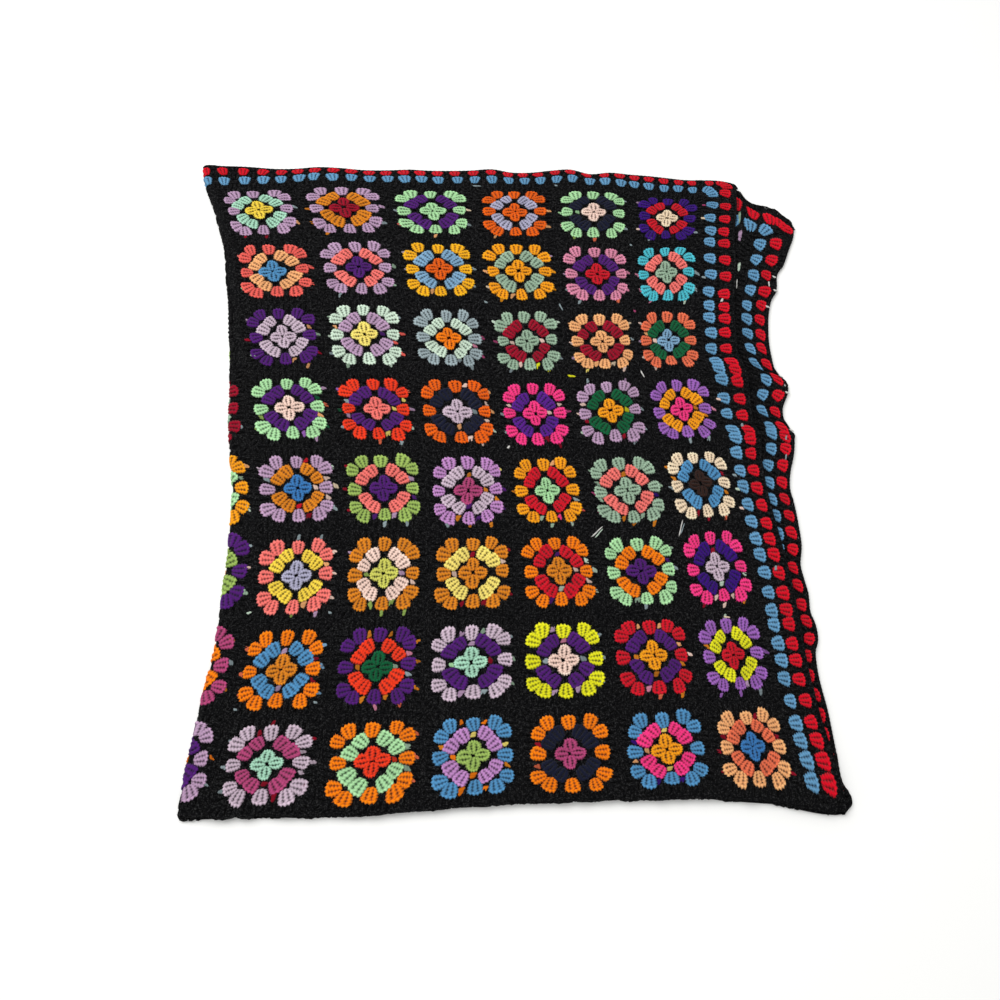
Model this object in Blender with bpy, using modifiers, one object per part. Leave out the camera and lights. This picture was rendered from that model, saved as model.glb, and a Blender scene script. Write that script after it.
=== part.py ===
"""A granny square blanket, folded in half twice, lying flat.

The cloth is 13 squares wide and 16 long, with a five-round edging crocheted round the joined field.
It is folded in half across the bottom, then in half again about the left side, so four layers lie
on each other. Each piece is one thin sheet that runs through both folds.

Places on the unfolded cloth are given in squares: `across` is 0 at the seam between the last two
columns before the left fold and grows to the right, and `along` is 0 at the bottom fold, positive
on the outer half and negative on the half folded under it.
"""

import bpy
import numpy as np

# Driving dimensions, in metres.
SQUARE = 0.132
ROUND = 0.0124
BORDER_ROUNDS = 5
THICKNESS = 0.0032
LAYER_GAP = 0.0010
SEAM_GAP = 0.0003
RING_HOLE = 0.0055

# How many squares lie each side of the seams that `across` and `along` start from.
SQUARES_RIGHT = 6
SQUARES_LEFT = 7
SQUARES_LONG = 8

# The left fold leans: it takes this share of a square at the top edge and at the bottom fold.
FOLD_IN_TOP = 0.06
FOLD_IN_BOTTOM = 0.36

# Each square has a middle cell, which holds the ring's hole, with its sides at these shares.
CELL_START = 0.27
CELL_END = 0.73
FOLD_STEPS = 6

# Grid lines on the edging at the ends of the cloth, as shares of its width.
END_LINES = (0.4, 0.6, 0.8, 1.0)

# The left fold's direction is taken over this share of a square each way.
FOLD_STEP = 0.1

# Outline of the folded blanket, a row for each line of squares from the top edge to the bottom fold.
# x_fold and x_edge are the outer sides of the upper layers, and x_1 to x_6 are centres of columns.
# y_fold to y_edge follow the line across. x_under and y_under are where the lower layers end.
SECTION_COLUMNS = (
    "along", "x_fold", "x_1", "x_3", "x_5", "x_6", "x_edge",
    "y_fold", "y_3", "y_6", "y_edge", "x_under", "y_under",
)
SECTIONS = (
    (8.47, -0.512, -0.432, -0.115, 0.166, 0.300, 0.412, 0.552, 0.545, 0.524, 0.503, 0.504, 0.449),
    (8.00, -0.502, -0.425, -0.112, 0.166, 0.300, 0.414, 0.498, 0.494, 0.486, 0.476, 0.508, 0.398),
    (7.50, -0.485, -0.407, -0.110, 0.167, 0.295, 0.412, 0.451, 0.446, 0.438, 0.432, 0.482, 0.336),
    (6.50, -0.453, -0.368, -0.092, 0.175, 0.289, 0.403, 0.334, 0.332, 0.322, 0.318, 0.450, 0.220),
    (5.50, -0.436, -0.346, -0.078, 0.177, 0.281, 0.395, 0.207, 0.201, 0.199, 0.197, 0.464, 0.104),
    (4.50, -0.425, -0.326, -0.057, 0.187, 0.299, 0.409, 0.077, 0.072, 0.072, 0.070, 0.465, -0.010),
    (3.50, -0.409, -0.304, -0.040, 0.208, 0.324, 0.423, -0.060, -0.059, -0.052, -0.053, 0.463, -0.122),
    (2.50, -0.406, -0.297, -0.035, 0.221, 0.335, 0.443, -0.201, -0.193, -0.186, -0.184, 0.468, -0.235),
    (1.50, -0.416, -0.304, -0.031, 0.232, 0.348, 0.457, -0.343, -0.328, -0.319, -0.314, 0.470, -0.345),
    (0.50, -0.434, -0.316, -0.030, 0.247, 0.369, 0.477, -0.475, -0.465, -0.450, -0.444, 0.478, -0.465),
    (0.00, -0.441, -0.325, -0.030, 0.250, 0.372, 0.487, -0.542, -0.526, -0.517, -0.534, 0.486, -0.535),
)
X_COLUMNS = ("x_fold", "x_1", "x_3", "x_5", "x_6", "x_edge")
X_PLACES = (0.5, 2.5, 4.5, 5.5)
Y_COLUMNS = ("y_fold", "y_3", "y_6", "y_edge")
Y_PLACES = (-0.2, 3.0, 5.5)
CENTRE_Y = 0.003

# The lower layers' rows follow the upper ones until near the right side, then fall to the under edge.
UNDER_FALL = 4.0

# The top edge of the upper layer drops over the ends of the other three, which stop short of it.
DROP = 0.0122
DROP_START = 0.4
DROP_POWER = 1.5
DROP_CORNER = 0.6
DROP_REACH = (0.02, 0.12)
END_SHORT = 0.044
END_REACH = (-2.0, 1.0)
CORNER_SHORT = 0.85
CORNER_REACH = (0.74, 0.90)
SIDE_SHORT = 0.005
SIDE_REACH = 0.5

# Broad ridges where the layers bunch up: centre, direction in degrees, half length, half width, rise.
RIDGE_COLUMNS = ("x", "y", "turn", "length", "width", "rise")
RIDGES = (
    (0.400, 0.150, 15.0, 0.120, 0.040, 0.0060),
    (0.415, 0.040, -12.0, 0.110, 0.040, 0.0050),
    (0.330, 0.400, 60.0, 0.120, 0.045, 0.0045),
    (-0.250, 0.470, 5.0, 0.180, 0.045, 0.0040),
    (0.120, 0.475, -4.0, 0.160, 0.040, 0.0035),
    (-0.380, -0.080, 85.0, 0.200, 0.050, 0.0035),
    (0.380, -0.330, 75.0, 0.170, 0.050, 0.0040),
    (-0.100, -0.270, 8.0, 0.220, 0.050, 0.0025),
    (0.100, 0.130, -6.0, 0.220, 0.050, 0.0025),
)

# Worked out from the sizes above.
BORDER = BORDER_ROUNDS * ROUND
EDGE = BORDER / SQUARE
PITCH = THICKNESS + LAYER_GAP
HAIRPIN_RADIUS = PITCH / 2
MIDDLE_HEIGHT = 2 * PITCH - LAYER_GAP / 2
HAIRPIN_HALF = np.pi / 2 * HAIRPIN_RADIUS
BEND_HALF = np.pi / 2 * PITCH
STACK_HEIGHT = 4 * THICKNESS + 3 * LAYER_GAP

FIELD_COLOUR = (0.012, 0.012, 0.014, 1.0)
EDGING_COLOUR = (0.420, 0.020, 0.030, 1.0)
YARN_ROUGHNESS = 0.9


def smoothstep(value, start, end):
    """Rise from 0 at start to 1 at end with level ends."""
    share = np.clip((value - start) / (end - start), 0.0, 1.0)
    return share * share * (3.0 - 2.0 * share)


def through(knots, values, at):
    """Read at `at` a smooth curve through values at knots, both along the last axis.

    Each knot's slope is that of the line between its neighbours, and past the ends it runs straight.
    """
    knots, values = (np.array(a, dtype=float) for a in np.broadcast_arrays(knots, values))
    step = np.diff(values, axis=-1) / np.diff(knots, axis=-1)
    inner = (values[..., 2:] - values[..., :-2]) / (knots[..., 2:] - knots[..., :-2])
    slopes = np.concatenate([step[..., :1], inner, step[..., -1:]], axis=-1)
    left = np.sum(at[..., None] >= knots[..., 1:-1], axis=-1)[..., None]

    def pick(table, index):
        table = np.broadcast_to(table, at.shape + table.shape[-1:])
        return np.take_along_axis(table, index, axis=-1)[..., 0]

    start, end = pick(knots, left), pick(knots, left + 1)
    low, high = pick(values, left), pick(values, left + 1)
    width = end - start
    share = np.clip((at - start) / width, 0.0, 1.0)
    bend = pick(slopes, left) * width * share * (1 - share) ** 2
    bend -= pick(slopes, left + 1) * width * share**2 * (1 - share)
    curve = low + (high - low) * share * share * (3 - 2 * share) + bend
    before = pick(slopes, left) * np.minimum(at - start, 0.0)
    after = pick(slopes, left + 1) * np.maximum(at - end, 0.0)
    return curve + before + after


def section(name, along):
    """Value of a column of SECTIONS at each distance `along` from the bottom fold, in squares."""
    table = np.array(SECTIONS)[::-1]
    column = table[:, SECTION_COLUMNS.index(name)]
    return through(table[:, 0], column, along)


def fold_place(along):
    """Where the left fold crosses the cloth, in squares across."""
    share = np.abs(along) / (SQUARES_LONG + EDGE)
    return -(FOLD_IN_BOTTOM + (FOLD_IN_TOP - FOLD_IN_BOTTOM) * share)


def upper_plan(across, along, fold):
    """Plan position of the upper layers, right of the left fold's bend."""
    start = fold + BEND_HALF / SQUARE
    places = [np.full_like(along, p) for p in X_PLACES + (SQUARES_RIGHT + EDGE,)]
    xs = [section(name, along) for name in X_COLUMNS]
    xs[0] = xs[0] + MIDDLE_HEIGHT
    x = through(np.stack([start] + places, axis=-1), np.stack(xs, axis=-1), across)
    levels = [np.full_like(along, p) for p in Y_PLACES + (SQUARES_RIGHT + EDGE,)]
    ys = [section(name, along) for name in Y_COLUMNS]
    y = through(np.stack(levels, axis=-1), np.stack(ys, axis=-1), across)
    return x, y


def lower_plan(across, along, fold):
    """Plan position of the lower layers, past the left fold's bend."""
    start = fold - BEND_HALF / SQUARE
    share = (start - across) / (start + SQUARES_LEFT + EDGE)
    above = fold + BEND_HALF / SQUARE + share * (SQUARES_RIGHT + EDGE - fold)
    _, y_above = upper_plan(above, along, fold)
    x_start = section("x_fold", along) + MIDDLE_HEIGHT
    x = x_start + (section("x_under", along) - x_start) * share
    fall = np.maximum(share, 0.0) ** UNDER_FALL
    y = y_above + (section("y_under", along) - section("y_edge", along)) * fall
    return x, y


def rise(x, y):
    """Height that the ridges add to the top of the stack."""
    total = np.zeros_like(x)
    for row in RIDGES:
        ridge = dict(zip(RIDGE_COLUMNS, row))
        turn = np.radians(ridge["turn"])
        dx, dy = x - ridge["x"], y - ridge["y"]
        near = (dx * np.cos(turn) + dy * np.sin(turn)) / ridge["length"]
        aside = (dy * np.cos(turn) - dx * np.sin(turn)) / ridge["width"]
        total += ridge["rise"] * np.exp(-(near**2) - aside**2)
    return total


def place(across, along):
    """Position of points on the cloth's middle surface, after both folds.

    The bottom fold turns `along` through a half circle, which leaves two layers a pitch apart. The
    left fold then turns both layers through a second half circle about a line above the floor.
    """
    outer = along > 0
    reach = np.abs(along) * SQUARE
    turned = np.clip(along * SQUARE / HAIRPIN_HALF, -1.0, 1.0) * np.pi / 2
    past = np.maximum(reach - HAIRPIN_HALF, 0.0) / SQUARE
    depth = HAIRPIN_RADIUS * np.cos(turned)
    radius = LAYER_GAP / 2 + THICKNESS / 2 + HAIRPIN_RADIUS * (1 + np.sin(turned))

    fold = fold_place(along)
    from_fold = (across - fold) * SQUARE
    bend = np.clip(from_fold / BEND_HALF, -1.0, 1.0) * np.pi / 2
    upper = from_fold > 0
    shown = outer & upper
    under_share = (fold - across) / (fold + SQUARES_LEFT + EDGE)
    corner = smoothstep(np.where(upper, across / SQUARES_RIGHT, under_share), *CORNER_REACH)
    near_fold = smoothstep(np.abs(from_fold), *DROP_REACH)
    at_end = (past - SQUARES_LONG) / EDGE

    short = np.where(outer, near_fold * (1 - CORNER_SHORT * corner), 1 - corner * ~upper)
    short = np.where(shown, 0.0, short) * smoothstep(at_end, *END_REACH)
    line = past - END_SHORT / SQUARE * short
    up_x, up_y = upper_plan(np.maximum(across, fold + BEND_HALF / SQUARE), line, fold)
    low_x, low_y = lower_plan(np.minimum(across, fold - BEND_HALF / SQUARE), line, fold)
    x = np.where(upper, up_x, low_x)
    y = np.where(upper, up_y, low_y) - depth
    fold_x = section("x_fold", line) + MIDDLE_HEIGHT
    aside = smoothstep(x - fold_x, 0.0, SIDE_REACH) * smoothstep(past, 0.0, 1.0)
    x -= np.where(upper != outer, SIDE_SHORT * aside, 0.0)
    run = section("x_fold", line + FOLD_STEP) - section("x_fold", line - FOLD_STEP)
    climb = section("y_fold", line + FOLD_STEP) - section("y_fold", line - FOLD_STEP)
    x -= radius * np.cos(bend) * climb / np.hypot(run, climb)
    y += radius * np.cos(bend) * run / np.hypot(run, climb)

    z = MIDDLE_HEIGHT + radius * np.sin(bend)
    z += (z - THICKNESS / 2) / (STACK_HEIGHT - THICKNESS) * rise(x, y)
    falling = np.clip((at_end - DROP_START) / (1 - DROP_START), 0.0, 1.0) ** DROP_POWER
    z -= np.where(shown, DROP * near_fold**2 * (1 - DROP_CORNER * corner) * falling, 0.0)
    return np.stack([x, y - CENTRE_Y, z], axis=-1)


def square_lines(first, last):
    """Grid lines each side of every square's middle cell, from square `first` up to `last`."""
    return [k + side for k in range(first, last) for side in (CELL_START, CELL_END)]


def across_lines(seam):
    """Grid lines across the cloth as (place, follows the left fold), with the edging's seam set out."""
    right_seam = SQUARES_RIGHT + seam
    left_seam = -SQUARES_LEFT - seam
    left = [-SQUARES_LEFT - EDGE, -SQUARES_LEFT - EDGE / 2, left_seam]
    left += square_lines(-SQUARES_LEFT, -1) + [-1 + CELL_START]
    bend = np.linspace(-BEND_HALF, BEND_HALF, FOLD_STEPS + 1) / SQUARE
    right = square_lines(0, SQUARES_RIGHT)
    right += [right_seam, SQUARES_RIGHT + EDGE / 2, SQUARES_RIGHT + EDGE]
    return [(p, False) for p in left] + [(p, True) for p in bend] + [(p, False) for p in right]


def along_lines(seam):
    """Grid lines along the cloth, from the under end through the bottom fold to the outer end."""
    hairpin = list(np.linspace(-HAIRPIN_HALF, HAIRPIN_HALF, FOLD_STEPS + 1) / SQUARE)
    half = square_lines(0, SQUARES_LONG) + [SQUARES_LONG + seam]
    half += [SQUARES_LONG + EDGE * share for share in END_LINES]
    return [-p for p in reversed(half)] + hairpin + half


def grid_points(lines, rows):
    """Places on the cloth of every crossing of the grid lines."""
    along = np.array(rows)[None, :] + np.zeros((len(lines), 1))
    offsets = np.array([p for p, _ in lines])[:, None]
    follows = np.array([f for _, f in lines])[:, None]
    return offsets + np.where(follows, fold_place(along), 0.0), along


def is_middle(start, end, along_middle):
    """Whether a grid cell is the middle cell of a square, which holds the ring's hole."""
    a_side = round(start % 1.0, 6) == CELL_START or round(end % 1.0, 6) == CELL_END
    return a_side and round(abs(along_middle) % 1.0, 6) == 0.5


def in_field(across, along):
    """Whether a place on the cloth is on the squares and not on the edging round them."""
    return -SQUARES_LEFT < across < SQUARES_RIGHT and abs(along) < SQUARES_LONG


def holed_cell(corners, centre, points):
    """Four faces round the ring's hole. The hole's corners are added to points."""
    half = RING_HOLE / 2 / SQUARE
    hole = range(len(points), len(points) + 4)
    for side, end in ((-half, -half), (half, -half), (half, half), (-half, half)):
        points.append((centre[0] + side, centre[1] + end))
    return [
        (corners[k], corners[(k + 1) % 4], hole[(k + 1) % 4], hole[k])
        for k in range(4)
    ]


def cloth(name, seam, of_squares, collection, colour):
    """A sheet over the grid's cells on the squares, each holed, or over the cells of the edging."""
    lines, rows = across_lines(seam), along_lines(seam)
    across, along = grid_points(lines, rows)
    points = list(zip(across.ravel(), along.ravel()))
    faces = []
    for i, j in np.ndindex(len(lines) - 1, len(rows) - 1):
        centre = np.mean(across[i : i + 2, j]), np.mean(along[i, j : j + 2])
        if in_field(*centre) != of_squares:
            continue
        first = i * len(rows) + j
        corners = [first, first + len(rows), first + len(rows) + 1, first + 1]
        if of_squares and is_middle(lines[i][0], lines[i + 1][0], centre[1]):
            ring = np.floor(centre[0]) + 0.5, centre[1]
            faces += holed_cell(corners, ring, points)
        else:
            faces.append(tuple(corners))
    used = sorted({k for face in faces for k in face})
    places = np.array(points)[used]
    faces = np.searchsorted(used, np.array(faces))

    mesh = bpy.data.meshes.new(name)
    mesh.from_pydata(place(places[:, 0], places[:, 1]).tolist(), [], faces.tolist())
    mesh.materials.append(yarn(name, colour))
    mesh.shade_smooth()
    piece = bpy.data.objects.new(name, mesh)
    solid = piece.modifiers.new("Thickness", "SOLIDIFY")
    solid.thickness = THICKNESS
    solid.offset = 0.0
    collection.objects.link(piece)


def yarn(name, colour):
    """Matt yarn of one colour."""
    material = bpy.data.materials.new(name + "_yarn")
    material.use_nodes = True
    shader = material.node_tree.nodes["Principled BSDF"]
    shader.inputs["Base Color"].default_value = colour
    shader.inputs["Roughness"].default_value = YARN_ROUGHNESS
    shader.inputs["Metallic"].default_value = 0.0
    return material


def main():
    for old in list(bpy.data.objects):
        bpy.data.objects.remove(old)
    collection = bpy.data.collections.new("granny_square_blanket")
    bpy.context.scene.collection.children.link(collection)
    seam = SEAM_GAP / 2 / SQUARE
    cloth("square_field", -seam, True, collection, FIELD_COLOUR)
    cloth("edging", seam, False, collection, EDGING_COLOUR)


main()
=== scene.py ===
"""A granny square blanket folded in quarters, dressed stitch by stitch in worsted acrylic yarn.

Every stitch is laid out on the flat cloth, in millimetres, and then carried through the two folds by
one map, so the squares, the edging and the backing web, a dark sheet that is partly painted shade,
all bend round the same folds together.
"""

from __future__ import annotations

import logging
from dataclasses import dataclass, field, replace
from enum import Enum, IntEnum
from functools import cached_property

import bpy
import numpy as np
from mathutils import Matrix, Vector

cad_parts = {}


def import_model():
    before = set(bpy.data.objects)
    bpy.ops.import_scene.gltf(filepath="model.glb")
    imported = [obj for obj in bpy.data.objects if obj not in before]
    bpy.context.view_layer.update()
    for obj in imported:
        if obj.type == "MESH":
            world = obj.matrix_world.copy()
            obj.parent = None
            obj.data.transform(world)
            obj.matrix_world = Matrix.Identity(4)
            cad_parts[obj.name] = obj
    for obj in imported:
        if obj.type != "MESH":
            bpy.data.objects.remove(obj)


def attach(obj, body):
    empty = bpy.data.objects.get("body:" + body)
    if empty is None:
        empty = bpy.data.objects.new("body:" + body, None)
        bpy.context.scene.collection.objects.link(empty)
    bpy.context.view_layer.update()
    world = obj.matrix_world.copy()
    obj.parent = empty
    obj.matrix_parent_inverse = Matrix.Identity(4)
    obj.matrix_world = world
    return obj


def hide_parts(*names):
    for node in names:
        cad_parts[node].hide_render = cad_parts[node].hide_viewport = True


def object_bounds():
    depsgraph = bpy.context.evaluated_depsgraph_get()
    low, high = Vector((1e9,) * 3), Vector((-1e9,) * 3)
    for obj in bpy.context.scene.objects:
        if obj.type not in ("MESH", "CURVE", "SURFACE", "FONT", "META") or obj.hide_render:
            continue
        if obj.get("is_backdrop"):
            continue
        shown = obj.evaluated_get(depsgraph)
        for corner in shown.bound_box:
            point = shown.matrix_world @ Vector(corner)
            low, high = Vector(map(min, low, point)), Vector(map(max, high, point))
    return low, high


LOG = logging.getLogger("blanket")
MM = 0.001
BODY = "root"
# The yarn's colour with each stitch's painted shade and highlight multiplied in.
COLOUR_MAP = "yarn_colour_with_painted_light"
STITCH_MAP = "stitch"
# The atlas map, with a tile for each cluster.
ATLAS_MAP = "OFBake"

Array = np.ndarray
Pair = tuple[float, float]
Knots = tuple[Pair, ...]
Table = tuple[tuple[float, ...], ...]


# ---------------------------------------------------------------- small helpers


def linear(code: str) -> tuple[float, float, float]:
    """Turn an sRGB hex code into linear light.

    Args:
        code: The colour as "#RRGGBB".

    Returns:
        Red, green and blue in linear light.
    """
    value = np.array([int(code[k : k + 2], 16) for k in (1, 3, 5)]) / 255
    light = np.where(value <= 0.04045, value / 12.92, ((value + 0.055) / 1.055) ** 2.4)
    return tuple(float(v) for v in light)


def smoothstep(value: Array, start: float, end: float) -> Array:
    """Rise from 0 at start to 1 at end with level ends: 3t^2 - 2t^3."""
    share = np.clip((value - start) / (end - start), 0.0, 1.0)
    return share * share * (3.0 - 2.0 * share)


def through(knots: Array, values: Array, at: Array) -> Array:
    """Read a smooth curve through values at knots, which lie along the last axis.

    Each knot's slope is that of the line between its neighbours, the curve between two knots is the
    cubic with those slopes, and past the ends it runs straight.

    Args:
        knots: Places of the known values, rising.
        values: The known values.
        at: Where to read the curve.

    Returns:
        The curve's value at each place.
    """
    knots, values = (np.array(a, dtype=float) for a in np.broadcast_arrays(knots, values))
    step = np.diff(values, axis=-1) / np.diff(knots, axis=-1)
    inner = (values[..., 2:] - values[..., :-2]) / (knots[..., 2:] - knots[..., :-2])
    slopes = np.concatenate([step[..., :1], inner, step[..., -1:]], axis=-1)
    left = np.sum(at[..., None] >= knots[..., 1:-1], axis=-1)[..., None]

    def pick(table: Array, index: Array) -> Array:
        """Read a table at each place's own knot."""
        table = np.broadcast_to(table, at.shape + table.shape[-1:])
        return np.take_along_axis(table, index, axis=-1)[..., 0]

    start, end = pick(knots, left), pick(knots, left + 1)
    low, high = pick(values, left), pick(values, left + 1)
    width = end - start
    share = np.clip((at - start) / width, 0.0, 1.0)
    bend = pick(slopes, left) * width * share * (1 - share) ** 2
    bend -= pick(slopes, left + 1) * width * share**2 * (1 - share)
    curve = low + (high - low) * share * share * (3 - 2 * share) + bend
    before = pick(slopes, left) * np.minimum(at - start, 0.0)
    after = pick(slopes, left + 1) * np.maximum(at - end, 0.0)
    return curve + before + after


def evenly(start: float, step: float, values: tuple[float, ...]) -> Knots:
    """Pair values with places that are a step apart, in hundredths."""
    return tuple((round(start + step * k, 2), value) for k, value in enumerate(values))


def entries(lines: tuple[str, ...]) -> list[list[str]]:
    """Split the lines of a chart at their commas, and each entry into its words."""
    return [entry.split() for line in lines for entry in line.split(",")]


def reach_along(line: Array) -> Array:
    """Distance of each point of a line from its first, along the line."""
    return np.concatenate([[0], np.cumsum(np.linalg.norm(np.diff(line, axis=0), axis=1))])


def tiles_a_side(count: int) -> int:
    """How many tiles a square atlas has a side, to hold a number of tiles."""
    return int(np.ceil(np.sqrt(count)))


def add_node(
    tree: bpy.types.NodeTree,
    kind: str,
    settings: dict[str, object] | None = None,
    inputs: dict[str | int, object] | None = None,
) -> bpy.types.Node:
    """Add a node, set its options and its inputs, and link those given as sockets.

    Args:
        tree: The material's node tree.
        kind: The node's type name.
        settings: Options of the node itself.
        inputs: Values or output sockets for its inputs, by name or number.

    Returns:
        The new node.
    """
    node = tree.nodes.new(kind)
    for name, value in (settings or {}).items():
        setattr(node, name, value)
    for name, value in (inputs or {}).items():
        if isinstance(value, bpy.types.NodeSocket):
            tree.links.new(value, node.inputs[name])
        else:
            node.inputs[name].default_value = value
    return node


# ---------------------------------------------------------------- yarns and finishes


class Yarn(Enum):
    """Shades of worsted acrylic yarn, as sRGB hex."""

    BLACK = "#09090B"
    BORDER_BLUE = "#68A0C8"
    BORDER_RED = "#E00824"
    LILAC = "#BE9CBC"
    PALE_LILAC = "#D0BACA"
    LAVENDER = "#B4B2CC"
    ORCHID = "#A066BC"
    VIOLET = "#5A1E8C"
    PURPLE = "#521C74"
    INDIGO = "#380C78"
    NAVY = "#15192F"
    DENIM = "#5494C4"
    LIGHT_BLUE = "#84AECE"
    TURQUOISE = "#50C4D4"
    MINT = "#B0E4A8"
    PALE_MINT = "#D4EAD4"
    SAGE = "#9EBAA0"
    DARK_GREEN = "#0A6038"
    OLIVE = "#A0BE60"
    CHARTREUSE = "#EAE820"
    LEMON = "#FFE878"
    YELLOW = "#FFDC4A"
    CREAM = "#FFE6C4"
    MARIGOLD = "#FFA416"
    OCHRE = "#E0861E"
    ORANGE = "#FF8208"
    BURNT_ORANGE = "#F0640E"
    VERMILION = "#F43C1C"
    TERRACOTTA = "#F07450"
    PEACH = "#FAB478"
    SALMON = "#FF7C74"
    CORAL = "#F2645A"
    RED = "#D41428"
    CRIMSON = "#A00828"
    RASPBERRY = "#B8487A"
    HOT_PINK = "#FF3C88"
    DUSTY_PINK = "#E08CA8"
    PALE_PINK = "#FFDCCC"
    BROWN = "#34201A"
    SEAFOAM = "#AEE0C4"
    AMBER = "#FFB81C"
    PINK_LILAC = "#C48CC8"
    BLUE = "#3C7CBC"
    CITRON = "#D8D864"
    GREY = "#9CACB0"
    WHITE = "#EDEBE6"

    @property
    def light(self) -> Array:
        """The shade in linear light."""
        return np.array(linear(self.value))


@dataclass(frozen=True)
class YarnFinish:
    """Acrylic worsted-weight yarn, spun from four plies: matt, with a soft bloom of loose fibres.

    The plies give each strand fine slanting ridges, and the fibres a pale edge where light grazes it.
    """

    name: str
    roughness: float = 0.88
    sheen: float = 0.06
    sheen_roughness: float = 0.45
    gloss: float = 0.08
    mottle: float = 0.14
    lint: float = 0.006
    lint_mm: float = 1.8  # tufts of pale fibre, a little coarser than they are
    fibre_mm: float = 0.9  # true fibres are far finer, so this is as coarse as shows
    ply_mm: float = 1.1
    ply_waver: float = 1.5
    ridge_mm: float = 0.35
    relief: float = 0.7

    def material(self) -> bpy.types.Material:
        """Build the node material; its colour, with painted shade, comes from the piece's attribute."""
        material = bpy.data.materials.new(self.name)
        material.use_nodes = True
        tree = material.node_tree
        shader = tree.nodes["Principled BSDF"]
        shader.inputs["Roughness"].default_value = self.roughness
        shader.inputs["Sheen Weight"].default_value = self.sheen
        shader.inputs["Sheen Roughness"].default_value = self.sheen_roughness
        shader.inputs["Specular IOR Level"].default_value = self.gloss
        colour = add_node(tree, "ShaderNodeAttribute", {"attribute_name": COLOUR_MAP})
        place = add_node(tree, "ShaderNodeTexCoord").outputs["Object"]
        scale = 1 / (self.fibre_mm * MM)
        inputs = {"Vector": place, "Scale": scale, "Detail": 3.0, "Roughness": 0.6}
        fibre = add_node(tree, "ShaderNodeTexNoise", inputs=inputs)
        inputs = {"Value": fibre.outputs["Fac"], "From Min": 0.25, "From Max": 0.75}
        inputs |= {"To Min": 1 - self.mottle, "To Max": 1 + self.mottle}
        tone = add_node(tree, "ShaderNodeMapRange", inputs=inputs)
        inputs = {0: colour.outputs["Color"], "Scale": tone.outputs["Result"]}
        tint = add_node(tree, "ShaderNodeVectorMath", {"operation": "SCALE"}, inputs)
        scale = 1 / (self.lint_mm * MM)
        inputs = {"Vector": place, "Scale": scale, "Detail": 1.0, "Roughness": 0.5}
        tuft = add_node(tree, "ShaderNodeTexNoise", inputs=inputs)
        inputs = {"Value": tuft.outputs["Fac"], "From Min": 0.52, "From Max": 0.72}
        inputs |= {"To Min": 0.0, "To Max": self.lint}
        speck = add_node(tree, "ShaderNodeMapRange", inputs=inputs)
        inputs = {0: tint.outputs["Vector"], 1: speck.outputs["Result"]}
        coat = add_node(tree, "ShaderNodeVectorMath", {"operation": "ADD"}, inputs)
        tree.links.new(coat.outputs["Vector"], shader.inputs["Base Color"])
        strand_map = add_node(tree, "ShaderNodeUVMap", {"uv_map": STITCH_MAP}).outputs["UV"]
        bands = {"wave_type": "BANDS", "bands_direction": "DIAGONAL", "wave_profile": "SIN"}
        inputs = {"Vector": strand_map, "Scale": 1 / (self.ply_mm * 2)}
        inputs |= {"Distortion": self.ply_waver, "Detail": 1.0}
        ply = add_node(tree, "ShaderNodeTexWave", bands, inputs)
        inputs = {0: fibre.outputs["Fac"], 1: ply.outputs["Fac"]}
        height = add_node(tree, "ShaderNodeMath", {"operation": "ADD"}, inputs)
        inputs = {"Strength": self.relief, "Distance": self.ridge_mm * MM}
        inputs |= {"Height": height.outputs["Value"]}
        bump = add_node(tree, "ShaderNodeBump", inputs=inputs)
        tree.links.new(bump.outputs["Normal"], shader.inputs["Normal"])
        return material


@dataclass(frozen=True)
class PaperFinish:
    """Matt white studio paper, which gives an even pale ground with no gloss."""

    name: str = "studio_paper"
    colour: str = "#F7F7F5"
    roughness: float = 0.95

    def material(self) -> bpy.types.Material:
        """Build the plain matt material."""
        material = bpy.data.materials.new(self.name)
        material.use_nodes = True
        shader = material.node_tree.nodes["Principled BSDF"]
        shader.inputs["Base Color"].default_value = (*linear(self.colour), 1.0)
        shader.inputs["Roughness"].default_value = self.roughness
        return material


# ---------------------------------------------------------------- the folds


@dataclass(frozen=True)
class Spot:
    """Points of the cloth as they lie to the two folds, each field an array over the points."""

    across: Array
    along: Array
    fold: Array  # where the left fold crosses their line, in squares across
    from_fold: Array  # metres of cloth past it
    upper: Array  # whether they lie in the two upper layers
    outer: Array  # whether they lie on the outer half
    past: Array  # squares along, past the bottom fold's bend
    line: Array  # the same, less what an end falls short
    free: Array  # share of the way from the left fold to the side of their layer
    under: Array  # the same for the lower layers, negative in the upper ones
    at_end: Array  # share of the way over the edging at an end
    corner: Array  # 1 at the free corner of their layer, 0 away from it
    near_fold: Array  # 0 at the left fold, 1 away from it
    depth: Array  # how far the bottom fold's half circle stands out, in metres
    radius: Array  # of the left fold's half circle, in metres
    bend: Array  # angle round it, in radians


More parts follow.
